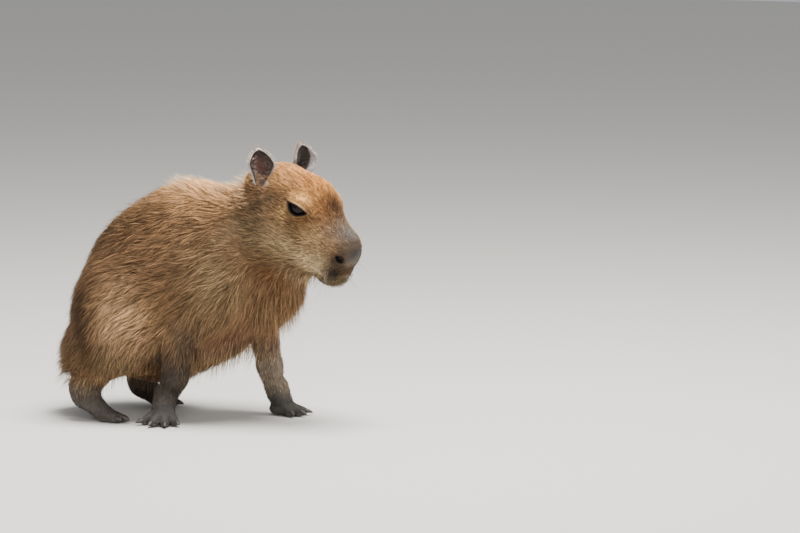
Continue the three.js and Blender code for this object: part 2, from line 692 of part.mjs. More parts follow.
// One flat lock: three-cornered rings along a path from under the core to the tips.
function lock(root, random) {
  const depth = coatDepth(root.x, root.y, root.z);
  const loose = smooth((depth - hairDepth) / 4);
  let length = lockLength * random(0.8, 1.25) * (0.8 + 0.4 * loose);
  const width = lockWidth * random(0.8, 1.2);
  const twist = random(-0.22, 0.22);
  const out = slopeOf(core, root).normalize();
  const way = lieAt(root).applyAxisAngle(out, twist);
  way.addScaledVector(out, -way.dot(out)).normalize();

  const stations = [
    [-0.06, -3.2, 0.6],
    [0.16, 0.15 * depth, 1],
    [0.5, 0.62 * depth, 0.86],
    [0.8, 0.95 * depth, 0.48],
    [1, depth + random(0, 1.6), 0],
  ];
  const station = ([along, level]) => {
    const straight = root.clone().addScaledVector(way, length * along).addScaledVector(out, level);
    const laid = settled((x, y, z) => core(x, y, z) - level, straight, 30);
    return laid.lerp(straight, along > 0 ? 0.25 + 0.5 * loose : 0);
  };
  while (length > lockWidth && station(stations[4]).z < lockHem) length *= 0.85;
  const path = stations.map(station);

  const positions = [];
  path.forEach((centre, i) => {
    const ahead = path[Math.min(i + 1, 4)].clone().sub(path[Math.max(i - 1, 0)]).normalize();
    const up = slopeOf(core, centre).normalize();
    const across = up.clone().cross(ahead).normalize();
    const lift = ahead.clone().cross(across).normalize();
    const reach = (width / 2) * stations[i][2];
    const thick = lockThickness * Math.sqrt(stations[i][2]);
    if (i === 4) {
      positions.push(...centre.toArray());
      return;
    }
    positions.push(...centre.clone().addScaledVector(across, -reach).toArray());
    positions.push(...centre.clone().addScaledVector(across, reach).toArray());
    positions.push(...centre.clone().addScaledVector(lift, thick).toArray());
  });
  const triangles = [0, 2, 1];
  for (let i = 0; i < 3; i++)
    for (let j = 0; j < 3; j++) {
      const a = 3 * i + j;
      const b = 3 * i + ((j + 1) % 3);
      triangles.push(a, b, b + 3, a, b + 3, a + 3);
    }
  triangles.push(9, 10, 12, 10, 11, 12, 11, 9, 12);
  const geometry = new THREE.BufferGeometry()
    .setAttribute("position", new THREE.Float32BufferAttribute(positions, 3))
    .setIndex(triangles);
  return solid(geometry);
}

// Places for the locks, scattered over a skin and kept apart.
function rootsOn(geometry, random) {
  const { position } = geometry.attributes;
  const index = geometry.index.array;
  const roots = [];
  for (let attempt = 0; attempt < 9000 && roots.length < lockCount; attempt++) {
    const t = 3 * Math.floor(random(0, index.length / 3));
    const [a, b, c] = [0, 1, 2].map((k) => point(0, 0, 0).fromBufferAttribute(position, index[t + k]));
    const u = Math.sqrt(random());
    const v = random();
    const root = a.multiplyScalar(1 - u).addScaledVector(b, u * (1 - v)).addScaledVector(c, u * v);
    if (coatDepth(root.x, root.y, root.z) < 2.6) continue;
    if (roots.every((other) => other.distanceTo(root) > lockSpacing)) roots.push(root);
  }
  return roots;
}

const coreSkin = skinOf(core, bodyBox, bodyCell);
const random = randomRun(7);
const locks = rootsOn(coreSkin, random).map((root) => lock(root, random));
const wholeBody = locks.reduce((made, piece) => made.add(piece), solid(coreSkin)).intersect(ground);

add("head", headSolid(), coat);
const neck = wholeBody.subtract(headSpace(half)).intersect(beyond(chestCut.through, chestCut.normal, half));
add("neck", neck, coat);

const boxRound = (centre, reach) => new THREE.Box3().setFromCenterAndSize(centre, point(reach, reach, reach));
const fleshOfForeLegs = {};
for (const name of ["right", "left"]) {
  const leg = foreLegs[name];
  const field = blended([...shoulderMasses(leg), ...forearmMasses(leg)]);
  const skin = skinOf(field, boxRound(leg.elbow.clone().lerp(leg.wrist, 0.5), 150), legCell);
  fleshOfForeLegs[name] = {
    made: solid(skin).intersect(foreLegSpace(-half)),
    room: solid(grown(skin, field, partGap * 1.2)).intersect(foreLegSpace(half)),
  };
}
const foreRooms = fleshOfForeLegs.right.room.add(fleshOfForeLegs.left.room);

let torso = wholeBody.subtract(beyond(chestCut.through, chestCut.normal, -half)).subtract(foreRooms);
for (const name of ["right", "left"]) {
  torso = torso
    .subtract(foreFootSpace(foreLegs[name], half))
    .subtract(hindLegSpace(hindLegs[name], half))
    .subtract(hindFootSpace(hindLegs[name], half));
}
add("torso", torso, coat);

// A foot without the ends of its toes, where the claws start, and its claws.
function addFoot(name, { masses, toes }, space, box) {
  let made = solid(skinOf(blended(masses), box, footCell)).intersect(space).intersect(ground);
  for (const toe of toes) {
    const tip = toe.end.clone().addScaledVector(toe.way, toe.radius + 3);
    const tipBox = boxSolid(tip.clone().sub(point(7, 7, 12)), tip.clone().add(point(7, 7, 12)));
    made = made.subtract(toeCut(toe, 0).intersect(tipBox));
  }
  add(name, made, bareSkin);
  toes.forEach((toe, i) => {
    add(`claw_${name}_${i + 1}`, clawSolid(toe).intersect(toeCut(toe, partGap)).intersect(ground), claw);
  });
}

const headRoom = solid(grown(headSkin, flesh, partGap * 1.2));
for (const [index, name] of ["right", "left"].entries()) {
  const side = sides[index];
  const fore = foreLegs[name];
  const hind = hindLegs[name];

  add(`foreleg_${name}`, fleshOfForeLegs[name].made, bareSkin);
  add(`hindleg_${name}`, wholeBody.intersect(hindLegSpace(hind, -half)).subtract(foreRooms), coat);
  addFoot(`forefoot_${name}`, forePaw(fore), foreFootSpace(fore, -half), boxRound(fore.wrist, 130));
  addFoot(`hindfoot_${name}`, hindPaw(hind), hindFootSpace(hind, -half), boxRound(hind.ball, 130));

  add(`eye_${name}`, placed(eyeBall(eyeRadius), eyeFrame(side)), eyeDark);
  add(`ear_${name}`, ear(side).subtract(headRoom), bareSkin);
}

// The origin goes to the middle of the footprint, on the ground.
const middle = new THREE.Box3().setFromObject(group).getCenter(point(0, 0, 0));
for (const mesh of group.children) mesh.position.set(-middle.x, -middle.y, 0);

export default group;
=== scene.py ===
import itertools
import math
import time
import bmesh
import bpy
import numpy as np
from mathutils import Matrix, Vector
from mathutils.kdtree import KDTree


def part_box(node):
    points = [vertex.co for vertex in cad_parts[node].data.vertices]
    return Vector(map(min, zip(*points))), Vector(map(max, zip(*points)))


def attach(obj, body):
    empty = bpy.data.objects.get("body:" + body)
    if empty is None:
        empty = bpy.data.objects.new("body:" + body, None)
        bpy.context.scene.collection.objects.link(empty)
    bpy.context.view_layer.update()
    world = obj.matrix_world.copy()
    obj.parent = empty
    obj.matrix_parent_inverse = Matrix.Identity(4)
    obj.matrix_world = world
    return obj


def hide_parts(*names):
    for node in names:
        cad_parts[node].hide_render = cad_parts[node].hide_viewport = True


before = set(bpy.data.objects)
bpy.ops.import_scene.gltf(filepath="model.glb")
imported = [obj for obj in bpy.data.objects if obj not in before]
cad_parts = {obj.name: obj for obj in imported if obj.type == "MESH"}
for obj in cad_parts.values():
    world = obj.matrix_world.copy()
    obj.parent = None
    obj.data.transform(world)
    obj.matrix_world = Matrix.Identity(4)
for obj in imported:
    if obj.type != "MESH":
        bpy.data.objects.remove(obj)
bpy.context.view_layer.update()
started = time.time()


def say(text):
    print(f"[{time.time() - started:5.1f} s] {text}", flush=True)


# The animal's own measures are in millimetres, as its solids were drawn, before they were centred.
place = {
    "headSeat": (77, -4, 244.5),
    "headPitch": 24,
    "headTurn": 15,
    "eyeSeat": (50.5, 26.5, -4),
    "eyeRadius": 9.5,
    "eyeFacing": 72,
    "earSeat": (1, 33.5, -5),
    "earCup": 12,
    "earFacing": {-1: 28, 1: -6},
    "earLean": 8,
    "notchDepth": 3.0,
    "clawLength": 6.5,
    "clawTrim": 2.0,
}
sides = (-1, 1)
sideName = {-1: "right", 1: "left"}


def towards(degrees):
    return np.array((math.cos(math.radians(degrees)), math.sin(math.radians(degrees)), 0))


def turned(x=0.0, y=0.0, z=0.0):
    turns = [Matrix.Rotation(math.radians(angle), 4, axis) for angle, axis in zip((x, y, z), "XYZ")]
    return np.array(turns[2] @ turns[1] @ turns[0])


def movedTo(x, y, z):
    made = np.eye(4)
    made[:3, 3] = (x, y, z)
    return made


headFrame = movedTo(*place["headSeat"]) @ turned(z=-place["headTurn"]) @ turned(y=place["headPitch"])


def headPlace(x, y, z):
    return headFrame @ movedTo(x, y, z)


def onHead(x, y, z):
    return headPlace(x, y, z)[:3, 3]


def intoFrame(at, p):
    return (p - at[:3, 3]) @ at[:3, :3]


def fromFrame(at, q):
    return q @ at[:3, :3].T + at[:3, 3]


def inHead(p):
    return intoFrame(headFrame, p)


def eyeFrame(side):
    x, y, z = place["eyeSeat"]
    return headPlace(x, side * y, z) @ turned(z=side * place["eyeFacing"])


# The solids were centred after they were drawn, so an eye of the frame says by how much.
shift = np.mean([list(corner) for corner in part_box("eye_right")], axis=0) * 1000 - eyeFrame(-1)[:3, 3]


def toMetres(points):
    return (np.asarray(points, float) + shift) * 0.001


def asMatrix(at):
    return Matrix([list(row) for row in at])


# A mass gives distances at many points, the width over which it blends into the others, and the
# rough shape that stands for it before the skin is drawn.
def ellipsoidIn(at, radii, blend=0.0):
    turnBack = at[:3, :3].copy()
    centre = at[:3, 3].copy()
    radii = np.array(radii, float)

    def distance(p):
        q = (p - centre) @ turnBack / radii
        near = lengthOf(q)
        slope = lengthOf(q / radii) + 1e-9
        return near * (near - 1) / slope

    def shape(bm):
        scaled = asMatrix(at) @ Matrix.Diagonal((*radii, 1))
        bmesh.ops.create_icosphere(bm, subdivisions=3, radius=1, matrix=scaled)

    return distance, blend, shape


def ellipsoid(centre, radii, blend=0.0, turn=0.0):
    at = turned(y=turn)
    at[:3, 3] = centre
    return ellipsoidIn(at, radii, blend)


def limb(start, end, a, b, blend=0.0):
    start = np.array(start, float)
    along = np.array(end, float) - start
    length = np.linalg.norm(along)
    along = along / length
    slant = (a - b) / length
    cosine = math.sqrt(1 - slant * slant)

    def distance(p):
        d = p - start
        y = d @ along
        x = np.sqrt(np.maximum((d * d).sum(1) - y * y, 0))
        k = y * cosine - x * slant
        middle = x * cosine + y * slant - a
        low = np.hypot(x, y) - a
        high = np.hypot(x, y - length) - b
        return np.where(k < 0, low, np.where(k > cosine * length, high, middle))

    def shape(bm):
        for centre, radius in ((start, a), (start + along * length, b)):
            at = Matrix.Translation(Vector(centre))
            bmesh.ops.create_icosphere(bm, subdivisions=2, radius=radius, matrix=at)
        turn = Vector(along).to_track_quat("Z", "Y").to_matrix().to_4x4()
        at = Matrix.Translation(Vector(start + along * length / 2)) @ turn
        bmesh.ops.create_cone(
            bm, cap_ends=True, segments=24, radius1=a, radius2=b, depth=length, matrix=at)

    return distance, blend, shape


def block(at, half, edge, blend=0.0):
    turnBack = at[:3, :3].copy()
    centre = at[:3, 3].copy()
    half = np.array(half, float)

    def distance(p):
        q = np.abs((p - centre) @ turnBack) - half + edge
        outside = lengthOf(np.maximum(q, 0))
        return outside + np.minimum(q.max(1), 0) - edge

    def shape(bm):
        scaled = asMatrix(at) @ Matrix.Diagonal((*(half * 1.6), 1))
        bmesh.ops.create_cube(bm, size=1, matrix=scaled)

    return distance, blend, shape


def joined(d, e, k):
    if k <= 0:
        return np.minimum(d, e)
    h = np.maximum(k - np.abs(d - e), 0) / k
    return np.minimum(d, e) - h * h * k * 0.25


def blended(masses):
    def distance(p):
        d = np.full(len(p), 1e6)
        for mass, blend, shape in masses:
            d = joined(d, mass(p), blend)
        return d

    return distance


def smooth(t):
    t = np.clip(t, 0, 1)
    return t * t * (3 - 2 * t)


def bell(t):
    return np.exp(-t * t)


def lengthOf(v):
    return np.linalg.norm(v, axis=1)


def unit(v):
    return v / (lengthOf(v)[:, None] + 1e-9)


def least(distances):
    return np.minimum.reduce(list(distances))


foreLegs = {
    -1: {
        "shoulder": (34, -46, 142),
        "elbow": (-12, -50, 88),
        "forearm": (-15, -50, 46),
        "wrist": (-26, -50, 23),
        "heading": -76,
        "toes": {"spread": (58, 20, -8, -36), "radius": 4.9, "reach": 9, "rise": 5},
    },
    1: {
        "shoulder": (44, 42, 140),
        "elbow": (42, 42, 86),
        "forearm": (49, 42, 48),
        "wrist": (56, 42, 21),
        "heading": -6,
        "toes": {"spread": (62, 15, -10, -34), "radius": 4.8, "reach": 8, "rise": 4},
    },
}
hindLegs = {
    -1: {"hip": (-84, -42, 120), "knee": (-58, -62, 78), "hock": (-110, -58, 25), "ball": (-88, -61, 8.2)},
    1: {"hip": (-80, 42, 120), "knee": (-44, 58, 78), "hock": (-95, 54, 21), "ball": (-79, 54, 8.2)},
}
hindToes = {"spread": (17, 0, -17), "radius": 5.2, "reach": 3, "rise": 1.4}
toeLengths = {4: (13, 16, 16, 12), 3: (13, 16.5, 13)}

trunkMasses = [
    ellipsoid((-78, 0, 110), (42, 58, 58), 0, -20),
    ellipsoid((-54, 0, 146), (60, 64, 66), 36, -30),
    ellipsoid((-12, 0, 165), (60, 64, 72), 30, -20),
    ellipsoid((30, 0, 156), (44, 54, 66), 26),
    limb((30, 0, 124), (-56, 0, 78), 42, 45, 28),
    limb((0, 0, 98), (-30, 0, 86), 43, 44, 18),
    limb((-96, 0, 92), (-121, -5, 64), 46, 35, 18),
]
for side in sides:
    trunkMasses += [limb((-92, side * 34, 84), (-116, side * 28, 61), 33, 26, 20)]
neckMasses = [
    limb((26, 0, 176), onHead(6, 0, -36), 42, 33, 22),
    limb((46, 0, 152), onHead(28, 0, -44), 43, 36, 20),
    limb((70, 0, 138), onHead(44, 0, -46), 28, 26, 18),
    ellipsoid((64, 2, 142), (32, 38, 43), 20),
]
headMasses = [
    ellipsoidIn(headPlace(10, 0, -14), (32, 35, 31), 14),
    ellipsoidIn(headPlace(42, 0, -12), (36, 30, 31), 14),
    limb(onHead(46, 0, -9), onHead(92, 0, -31), 27, 20, 10),
    block(headPlace(82, 0, -38), (29, 24, 25), 16, 12),
    ellipsoidIn(headPlace(40, 0, -42), (42, 35, 31), 16),
    ellipsoidIn(headPlace(97, 0, -56), (16, 15, 13), 8),
]
for side in sides:
    headMasses += [limb(onHead(52, side * 15, -24), onHead(88, side * 9, -34), 17, 15, 8)]
for side in sides:
    headMasses += [
        ellipsoidIn(headPlace(24, side * 22, -36), (28, 20, 27), 16),
        ellipsoidIn(headPlace(47, side * 18, -4), (18, 11, 10), 10),
        ellipsoidIn(eyeFrame(side), (11.7, 13.2, 11.7), 5),
        ellipsoidIn(headPlace(-8, side * 25, -6), (11, 10, 11), 8),
        ellipsoidIn(headPlace(100, side * 13, -36), (11, 8, 6), 4),
    ]


def shoulderMasses(side):
    shoulder = np.array(foreLegs[side]["shoulder"], float)
    return [
        ellipsoid(shoulder + (-12, side * 2, -2), (34, 20, 46), 22, 25),
        limb(shoulder + (-10, 0, -22), foreLegs[side]["elbow"], 23, 14, 16),
    ]


def hindLegMasses(side):
    hip, knee, hock = (np.array(hindLegs[side][name], float) for name in ("hip", "knee", "hock"))
    return [
        ellipsoid(hip * 0.58 + knee * 0.42 + (-6, side * 2, -2), (40, 25, 48), 20, 30),
        limb(hip, knee, 38, 24, 18),
        limb(knee + (-6, 0, 7), hock + (0, 0, 10), 20, 14.5, 14),
    ]


def toesOf(root, side, heading, toes):
    made = []
    for turn, length in zip(toes["spread"], toeLengths[len(toes["spread"])]):
        way = towards(heading + side * turn)
        start = root + way * toes["reach"]
        end = root + way * (toes["reach"] + length)
        start[2] = toes["radius"] + toes["rise"]
        end[2] = toes["radius"] - 0.8
        made.append({"start": start, "end": end, "way": way, "radius": toes["radius"]})
    return made


def forePaw(side):
    leg = foreLegs[side]
    wrist = np.array(leg["wrist"], float)
    way = towards(leg["heading"])
    palm = turned(z=leg["heading"])
    palm[:3, 3] = wrist + way * 6
    palm[2, 3] = 5.6
    masses = [
        limb(leg["elbow"], leg["forearm"], 14.5, 13, 10),
        limb(leg["forearm"], wrist, 13, 10.6, 6),
        ellipsoidIn(palm, (13.5, 12.5, 7), 7),
    ]
    toes = toesOf(wrist + way * 4, side, leg["heading"], leg["toes"])
    for toe in toes:
        knuckle = wrist + toe["way"] * 4 + (0, 0, 9)
        masses += [
            limb(knuckle, toe["start"], 8, toe["radius"] + 1.6, 3),
            limb(toe["start"], toe["end"], toe["radius"] + 1.4, toe["radius"], 2.5),
        ]
    return masses, toes


def hindPaw(side):
    knee, hock, ball = (np.array(hindLegs[side][name], float) for name in ("knee", "hock", "ball"))
    way = (ball - hock) * (1, 1, 0)
    heading = math.degrees(math.atan2(way[1], way[0]))
    raised = hock + (0, 0, 10)
    masses = [
        limb(knee + (-6, 0, 7), raised, 20, 14.5),
        limb(raised, hock, 14.5, 12, 8),
        limb(hock, ball, 12, 9, 8),
    ]
    toes = toesOf(ball, side, heading, hindToes)
    masses += [limb(toe["start"], toe["end"], toe["radius"] + 1.2, toe["radius"], 4) for toe in toes]
    return masses, toes


limbMasses = sum((shoulderMasses(s) + hindLegMasses(s) for s in sides), [])
bodyMasses = trunkMasses + neckMasses + headMasses + limbMasses
bodyFlesh = blended(bodyMasses)
forePaws = {side: forePaw(side) for side in sides}
hindPaws = {side: hindPaw(side) for side in sides}
pawMasses = [paws[side][0] for paws in (forePaws, hindPaws) for side in sides]
pawFields = [blended(masses) for masses in pawMasses]


def flesh(p):
    d = bodyFlesh(p)
    for paw in pawFields:
        d = joined(d, paw(p), 3)
    return d


# How far behind the head's back edge each point is, and how far off the legs and feet.
cuts = [
    (onHead(5, 0, -66), headFrame[:3, :3] @ (0.1, 0, 0.995)),
    (onHead(-16, 0, 0), headFrame[:3, :3] @ (0.958, 0, 0.286)),
]
forearmBones, pawBones, shankBones, toeBones = [], [], [], []
for side in sides:
    leg = foreLegs[side]
    palm = np.array(leg["wrist"]) * (1, 1, 0) + (0, 0, 8)
    forearmBones.append(limb(leg["elbow"], leg["wrist"], 14, 11))
    pawBones.append(limb(palm, forePaws[side][1][1]["end"], 16, 12))
    leg = hindLegs[side]
    shankBones.append(limb(leg["hock"], leg["ball"], 13, 9))
    toeBones.append(limb(leg["ball"], hindPaws[side][1][1]["end"], 14, 12))


def behindHead(p):
    return -least((p - through) @ normal for through, normal in cuts)


def offBones(p, bones):
    return least(bone[0](p) for bone in bones)


def hump(p, centre, reach):
    return np.exp(-((p - centre) ** 2).sum(1) / reach**2)


# The coat: how deep it lies and how long and wide its tufts are, in millimetres, and how many grow.
# The undercoat's length and tone are shares of the long coat's, and the spans say how far one tuft
# may differ from the next.
coat = {
    "depth": 5.5,
    "deeper": (((-138, -6, 58), 42, 7), ((92, 0, 140), 34, 3), ((-10, 0, 60), 50, 3)),
    "rise": 1.6,
    "bodyLength": 21,
    "bodyWidth": 0.76,
    "underLength": 0.55,
    "underWidth": 0.62,
    "underTone": 0.62,
    "headLength": 7.8,
    "headWidth": 0.58,
    "headDepth": 1.7,
    "legLength": 6.5,
    "legWidth": 0.65,
    "legDepth": 1.3,
    "footLength": 3.0,
    "footWidth": 0.5,
    "bodyCount": 44000,
    "underCount": 35000,
    "headCount": 36000,
    "legCount": 13500,
    "lengthSpan": (0.7, 1.2),
    "widthSpan": (0.65, 1.3),
    "heightSpan": (0.45, 1.2),
    "guardShare": 0.2,
    "guardLonger": 1.2,
    "guardFiner": 0.65,
    "rootSunk": 0.7,
    "clump": 0.3,
    "leadersPerThousand": 15,
    "pieceTriangles": 190000,
    "bakePatch": 0.003,
    "flat": 0.4,
    "streak": 0.2,
    "rumpLonger": 11,
    "crestHigher": 3.5,
    "elbowLonger": 8,
    "seed": 11,
}


def longCoat(p):
    fade = smooth((behindHead(p) + 5) / 24)
    fade = fade * smooth((offBones(p, forearmBones) - 2) / 24)
    fade = fade * smooth((p[:, 2] - np.where(p[:, 0] < -30, 38, 24)) / 14)
    return fade * smooth((offBones(p, shankBones) - 6) / 30)


def coatDepth(p):
    extra = sum(hump(p, centre, reach) * more for centre, reach, more in coat["deeper"])
    return coat["depth"] + extra


# The eye's opening between its lids, as a distance in the eye's own frame.
eyelids = {
    "length": 22.5,
    "height": 10.5,
    "tilt": 8,
    "depth": 5.5,
    "rim": 0.9,
    "crease": 0.9,
    "brow": 0.8,
    "bag": 0.5,
}


def inEye(p, side):
    return intoFrame(eyeFrame(side) @ turned(x=side * eyelids["tilt"]), p)


def slitEdge(q):
    across = 1 - (q[:, 1] / (eyelids["length"] / 2)) ** 2
    upper = q[:, 2] - eyelids["height"] * 0.3 * across
    lower = -eyelids["height"] * 0.65 * across - q[:, 2]
    return upper, lower


# The notch at the front of each ear's root, as a distance that is 1 at its edge.
def earNotch(q):
    x, y, z = place["earSeat"]
    q = np.stack([q[:, 0], np.abs(q[:, 1]), q[:, 2]], 1)
    return lengthOf((q - (x + 3, y + 1.5, z + 8)) / (7, 7, 9))


# Bare places: 1 on the nose pad, the lips and the soles, in the ear notches and round the eyes.
def bareness(p):
    q = inHead(p)
    nose = bell((q[:, 0] - 111) / 9) * bell(q[:, 1] / 16) * bell((q[:, 2] + 30) / 13)
    bridge = bell((q[:, 0] - 99) / 12) * bell(q[:, 1] / 9) * bell((q[:, 2] + 16) / 9)
    bare = np.maximum(smooth(nose * 1.6 - 0.2), smooth(bridge * 1.1 - 0.3))
    bare = np.maximum(bare, 1 - smooth((earNotch(q) - 0.9) / 0.3))
    for side in sides:
        x, y, z = place["eyeSeat"]
        upper, lower = slitEdge(inEye(p, side))
        near = bell(lengthOf(q - (x, side * y, z)) / 17)
        bare = np.maximum(bare, near * (1 - smooth((np.maximum(upper, lower) - 1.6) / 1.6)))
    bare = np.maximum(bare, 1 - smooth((lipDistance(q) - 1.59) / 2))
    sole = 1 - smooth((p[:, 2] - 1.5) / 2.5)
    return np.maximum(bare, sole)


# The line of the lips, on both sides, and each point's distance to it.
lipLine = [(70, 26, -60), (82, 25, -57), (95, 21, -54), (106, 13, -52), (112, 0, -51)]
lipParts = []
for side in sides:
    corners = [(x, side * y, z) for x, y, z in lipLine]
    lipParts += [limb(a, b, 0.01, 0.01)[0] for a, b in zip(corners[:-1], corners[1:])]


def lipDistance(q):
    return least(part(q) for part in lipParts)


def skinDepth(p):
    body = longCoat(p)
    onLegs = (1 - body) * smooth((behindHead(p) - 20) / 10)
    onTheHead = (1 - body) * (1 - smooth((behindHead(p) - 20) / 10))
    foot = np.minimum(offBones(p, pawBones), offBones(p, shankBones))
    legs = coat["legDepth"] * (0.5 + 0.5 * smooth(foot / 12))
    hollow = place["notchDepth"] * (1 - smooth((earNotch(inHead(p)) - 0.3) / 0.6))
    head = onTheHead * coat["headDepth"] * (1 - bareness(p))
    return body * coatDepth(p) + onLegs * legs + head + hollow


def coarseSkin(p):
    return flesh(p) + skinDepth(p)


# The lie of the hair: places on its left side, each with the way that the hair points there.
lies = np.array([
    (40, 0, 228, -1, 0, -0.05), (0, 0, 236, -1, 0, -0.1), (-60, 0, 222, -1, 0, -0.45),
    (-110, 0, 175, -0.6, 0, -1), (-145, 0, 110, -0.2, 0, -1), (-152, 0, 64, -1, 0, -0.4),
    (50, 45, 190, -0.8, 0, -0.5), (84, 34, 172, -0.7, 0, -0.7), (104, 26, 150, -0.45, 0, -0.9),
    (25, 62, 150, -0.75, 0, -0.6), (-40, 64, 145, -0.9, 0, -0.38), (-80, 66, 120, -0.7, 0.1, -0.6),
    (-70, 74, 78, -0.6, 0.1, -0.8), (-120, 50, 70, -0.7, 0, -0.7), (100, 0, 140, -0.15, 0, -1),
    (80, 25, 110, -0.2, 0, -1), (0, 0, 62, -0.8, 0, -0.5), (40, 0, 84, -0.6, 0, -0.8),
    (30, 50, 110, -0.6, 0, -0.8), (-30, 60, 100, -0.85, 0, -0.5), (42, 42, 60, -0.15, 0, -1),
    (50, 42, 30, 0.1, 0, -1), (-12, 50, 60, -0.1, 0, -1), (-18, 50, 30, 0.1, 0, -1),
    (-60, 64, 60, -0.3, 0, -1), (-100, 58, 36, -0.2, 0, -1),
], float)
headLies = np.array([
    (106, 0, -14, -1, 0, 0), (80, 0, 0, -1, 0, 0.15), (40, 0, 18, -1, 0, 0), (0, 0, 18, -1, 0, -0.1),
    (90, 24, -36, -1, 0.1, -0.1), (60, 28, -34, -1, 0.1, -0.25), (60, 26, -6, -1, 0.2, 0.1),
    (30, 38, -30, -1, 0.1, -0.3), (20, 40, -56, -0.9, 0, -0.5), (96, 20, -62, -0.8, 0.2, -0.6),
    (70, 18, -72, -1, 0, -0.2), (10, 34, 0, -1, 0.1, -0.2), (-10, 34, -20, -1, 0, -0.5),
    (112, 12, -44, -0.2, 0.8, -0.6), (40, 32, -14, -1, 0.15, -0.2),
], float)


def blendWays(p, table):
    mirror = np.where(p[:, 1] < 0, -1.0, 1.0)
    q = p.copy()
    q[:, 1] = np.abs(q[:, 1])
    way = np.zeros_like(p)
    for row in table:
        weight = 1 / (((q - row[:3]) ** 2).sum(1) ** 1.5 + 1)
        way += weight[:, None] * (row[3:] / np.linalg.norm(row[3:]))
    way[:, 1] *= mirror
    return unit(way)


def lieAt(p):
    onTheHead = 1 - smooth((behindHead(p) + 6) / 26)
    body = blendWays(p, lies)
    head = blendWays(inHead(p), headLies) @ headFrame[:3, :3].T
    way = body * (1 - onTheHead[:, None]) + head * onTheHead[:, None]
    return unit(way)


def gridOf(field, low, high, cell):
    axes = [np.arange(low[i], high[i] + cell, cell) for i in range(3)]
    values = np.empty([len(axis) for axis in axes])
    for i, x in enumerate(axes[0]):
        y, z = np.meshgrid(axes[1], axes[2], indexing="ij")
        p = np.stack([np.full(y.size, x), y.ravel(), z.ravel()], 1)
        values[i] = field(p).reshape(y.shape)
    return values


# Four samples at the corners of a tetrahedron give the field's slope.
def slopeOf(field, p, step=0.4):
    ways = np.array([(1, -1, -1), (-1, -1, 1), (-1, 1, -1), (1, 1, 1)], float)
    slope = np.zeros_like(p)
    for way in ways:
        slope += way * field(p + way * step)[:, None]
    return slope / (4 * step)


# Brings points onto the field's surface, in steps that don't pass the most.
def settle(field, p, rounds, most=2.0):
    for i in range(rounds):
        slope = slopeOf(field, p)
        length = (slope * slope).sum(1) + 1e-6
        move = -(field(p) / length)[:, None] * slope
        size = np.linalg.norm(move, axis=1, keepdims=True) + 1e-9
        p = p + move * np.minimum(size, most) / size
    return p


gridLow = np.array((-178.0, -104.0, -8.0))
gridHigh = np.array((186.0, 102.0, 280.0))
gridCell = 3.0
skinGrid = gridOf(coarseSkin, gridLow, gridHigh, gridCell)
say(f"field of the skin on a grid of {skinGrid.size} points")


# Distance to the skin, and the way out of it, read from the grid between its eight nearest points.
def probe(p):
    q = np.clip((p - gridLow) / gridCell, 0, np.array(skinGrid.shape) - 1.001)
    base = q.astype(int)
    part = q - base
    distance = np.zeros(len(p))
    slope = np.zeros((len(p), 3))
    for corner in itertools.product((0, 1), repeat=3):
        value = skinGrid[tuple((base + corner).T)]
        share = np.where(corner, part, 1 - part).T
        distance += value * share[0] * share[1] * share[2]
        for i in range(3):
            slope[:, i] += (2 * corner[i] - 1) * value * share[i - 1] * share[i - 2]
    return distance, unit(slope)


nostril = {
    "seat": (107, 14.5, -33),
    "tilt": 20,
    "facing": 42,
    "size": (5.0, 3.3),
    "depth": 5,
    "rim": 0.8,
}


# How far each point is from the middle of a nostril, 1 at its edge, and the way out of it.
def nostrilSpot(p, side):
    x, y, z = nostril["seat"]
    tilt, facing = nostril["tilt"], nostril["facing"]
    at = headPlace(x, side * y, z) @ turned(x=side * tilt) @ turned(y=tilt) @ turned(z=side * facing)
    q = intoFrame(at, p)
    wide, high = nostril["size"]
    return np.hypot(q[:, 1] / wide, q[:, 2] / high) + 3 * (q[:, 0] < -4), at[:3, 0]


mouth = {"lip": 0.7, "cleft": 0.8, "depth": 1.8}


# Soft ridges and creases round the eyes, the nostrils and the lips.
def faceDetail(p, d):
    for side in sides:
        q = inEye(p, side)
        upper, lower = slitEdge(q)
        slit = np.maximum(upper, lower)
        near = bell(lengthOf(q - (9, 0, 0)) / 15)
        d = d - near * eyelids["rim"] * bell((slit - 1.2) / 1.1)
        d = d + near * eyelids["crease"] * bell((upper - 4.2) / 0.9) * smooth(q[:, 2] / 2 + 1)
        d = d - near * eyelids["brow"] * bell((upper - 6.6) / 1.8)
        d = d + near * eyelids["bag"] * bell((lower - 3.6) / 0.9)
        ring = nostrilSpot(p, side)[0]
        d = d - nostril["rim"] * bell((ring - 1.5) / 0.4)
    q = inHead(p)
    d = d - mouth["lip"] * bell((lipDistance(q) - 2.6) / 1.4)
    cleft = limb((113, 0, -36), (112, 0, -50), 0.1, 0.1)[0](q)
    return d + mouth["cleft"] * bell(cleft / 1.3)


# Shares of lid edge, nostril and lip line at each point: dark skin at the lid edges and the lip line,
# painted shade in the nostrils.
def openings(p):
    q = inHead(p)
    lids = np.zeros(len(p))
    nostrils = np.zeros(len(p))
    for side in sides:
        local = inEye(p, side)
        upper, lower = slitEdge(local)
        near = (local[:, 0] > 2) & (lengthOf(local) < 18)
        lids = np.maximum(lids, near * (1 - smooth((np.maximum(upper, lower) - 0.7) / 1.0)))
        nostrils = np.maximum(nostrils, 1 - smooth((nostrilSpot(p, side)[0] - 0.8) / 0.4))
    return lids, nostrils, 0.85 * bell(lipDistance(q) / 1.3)


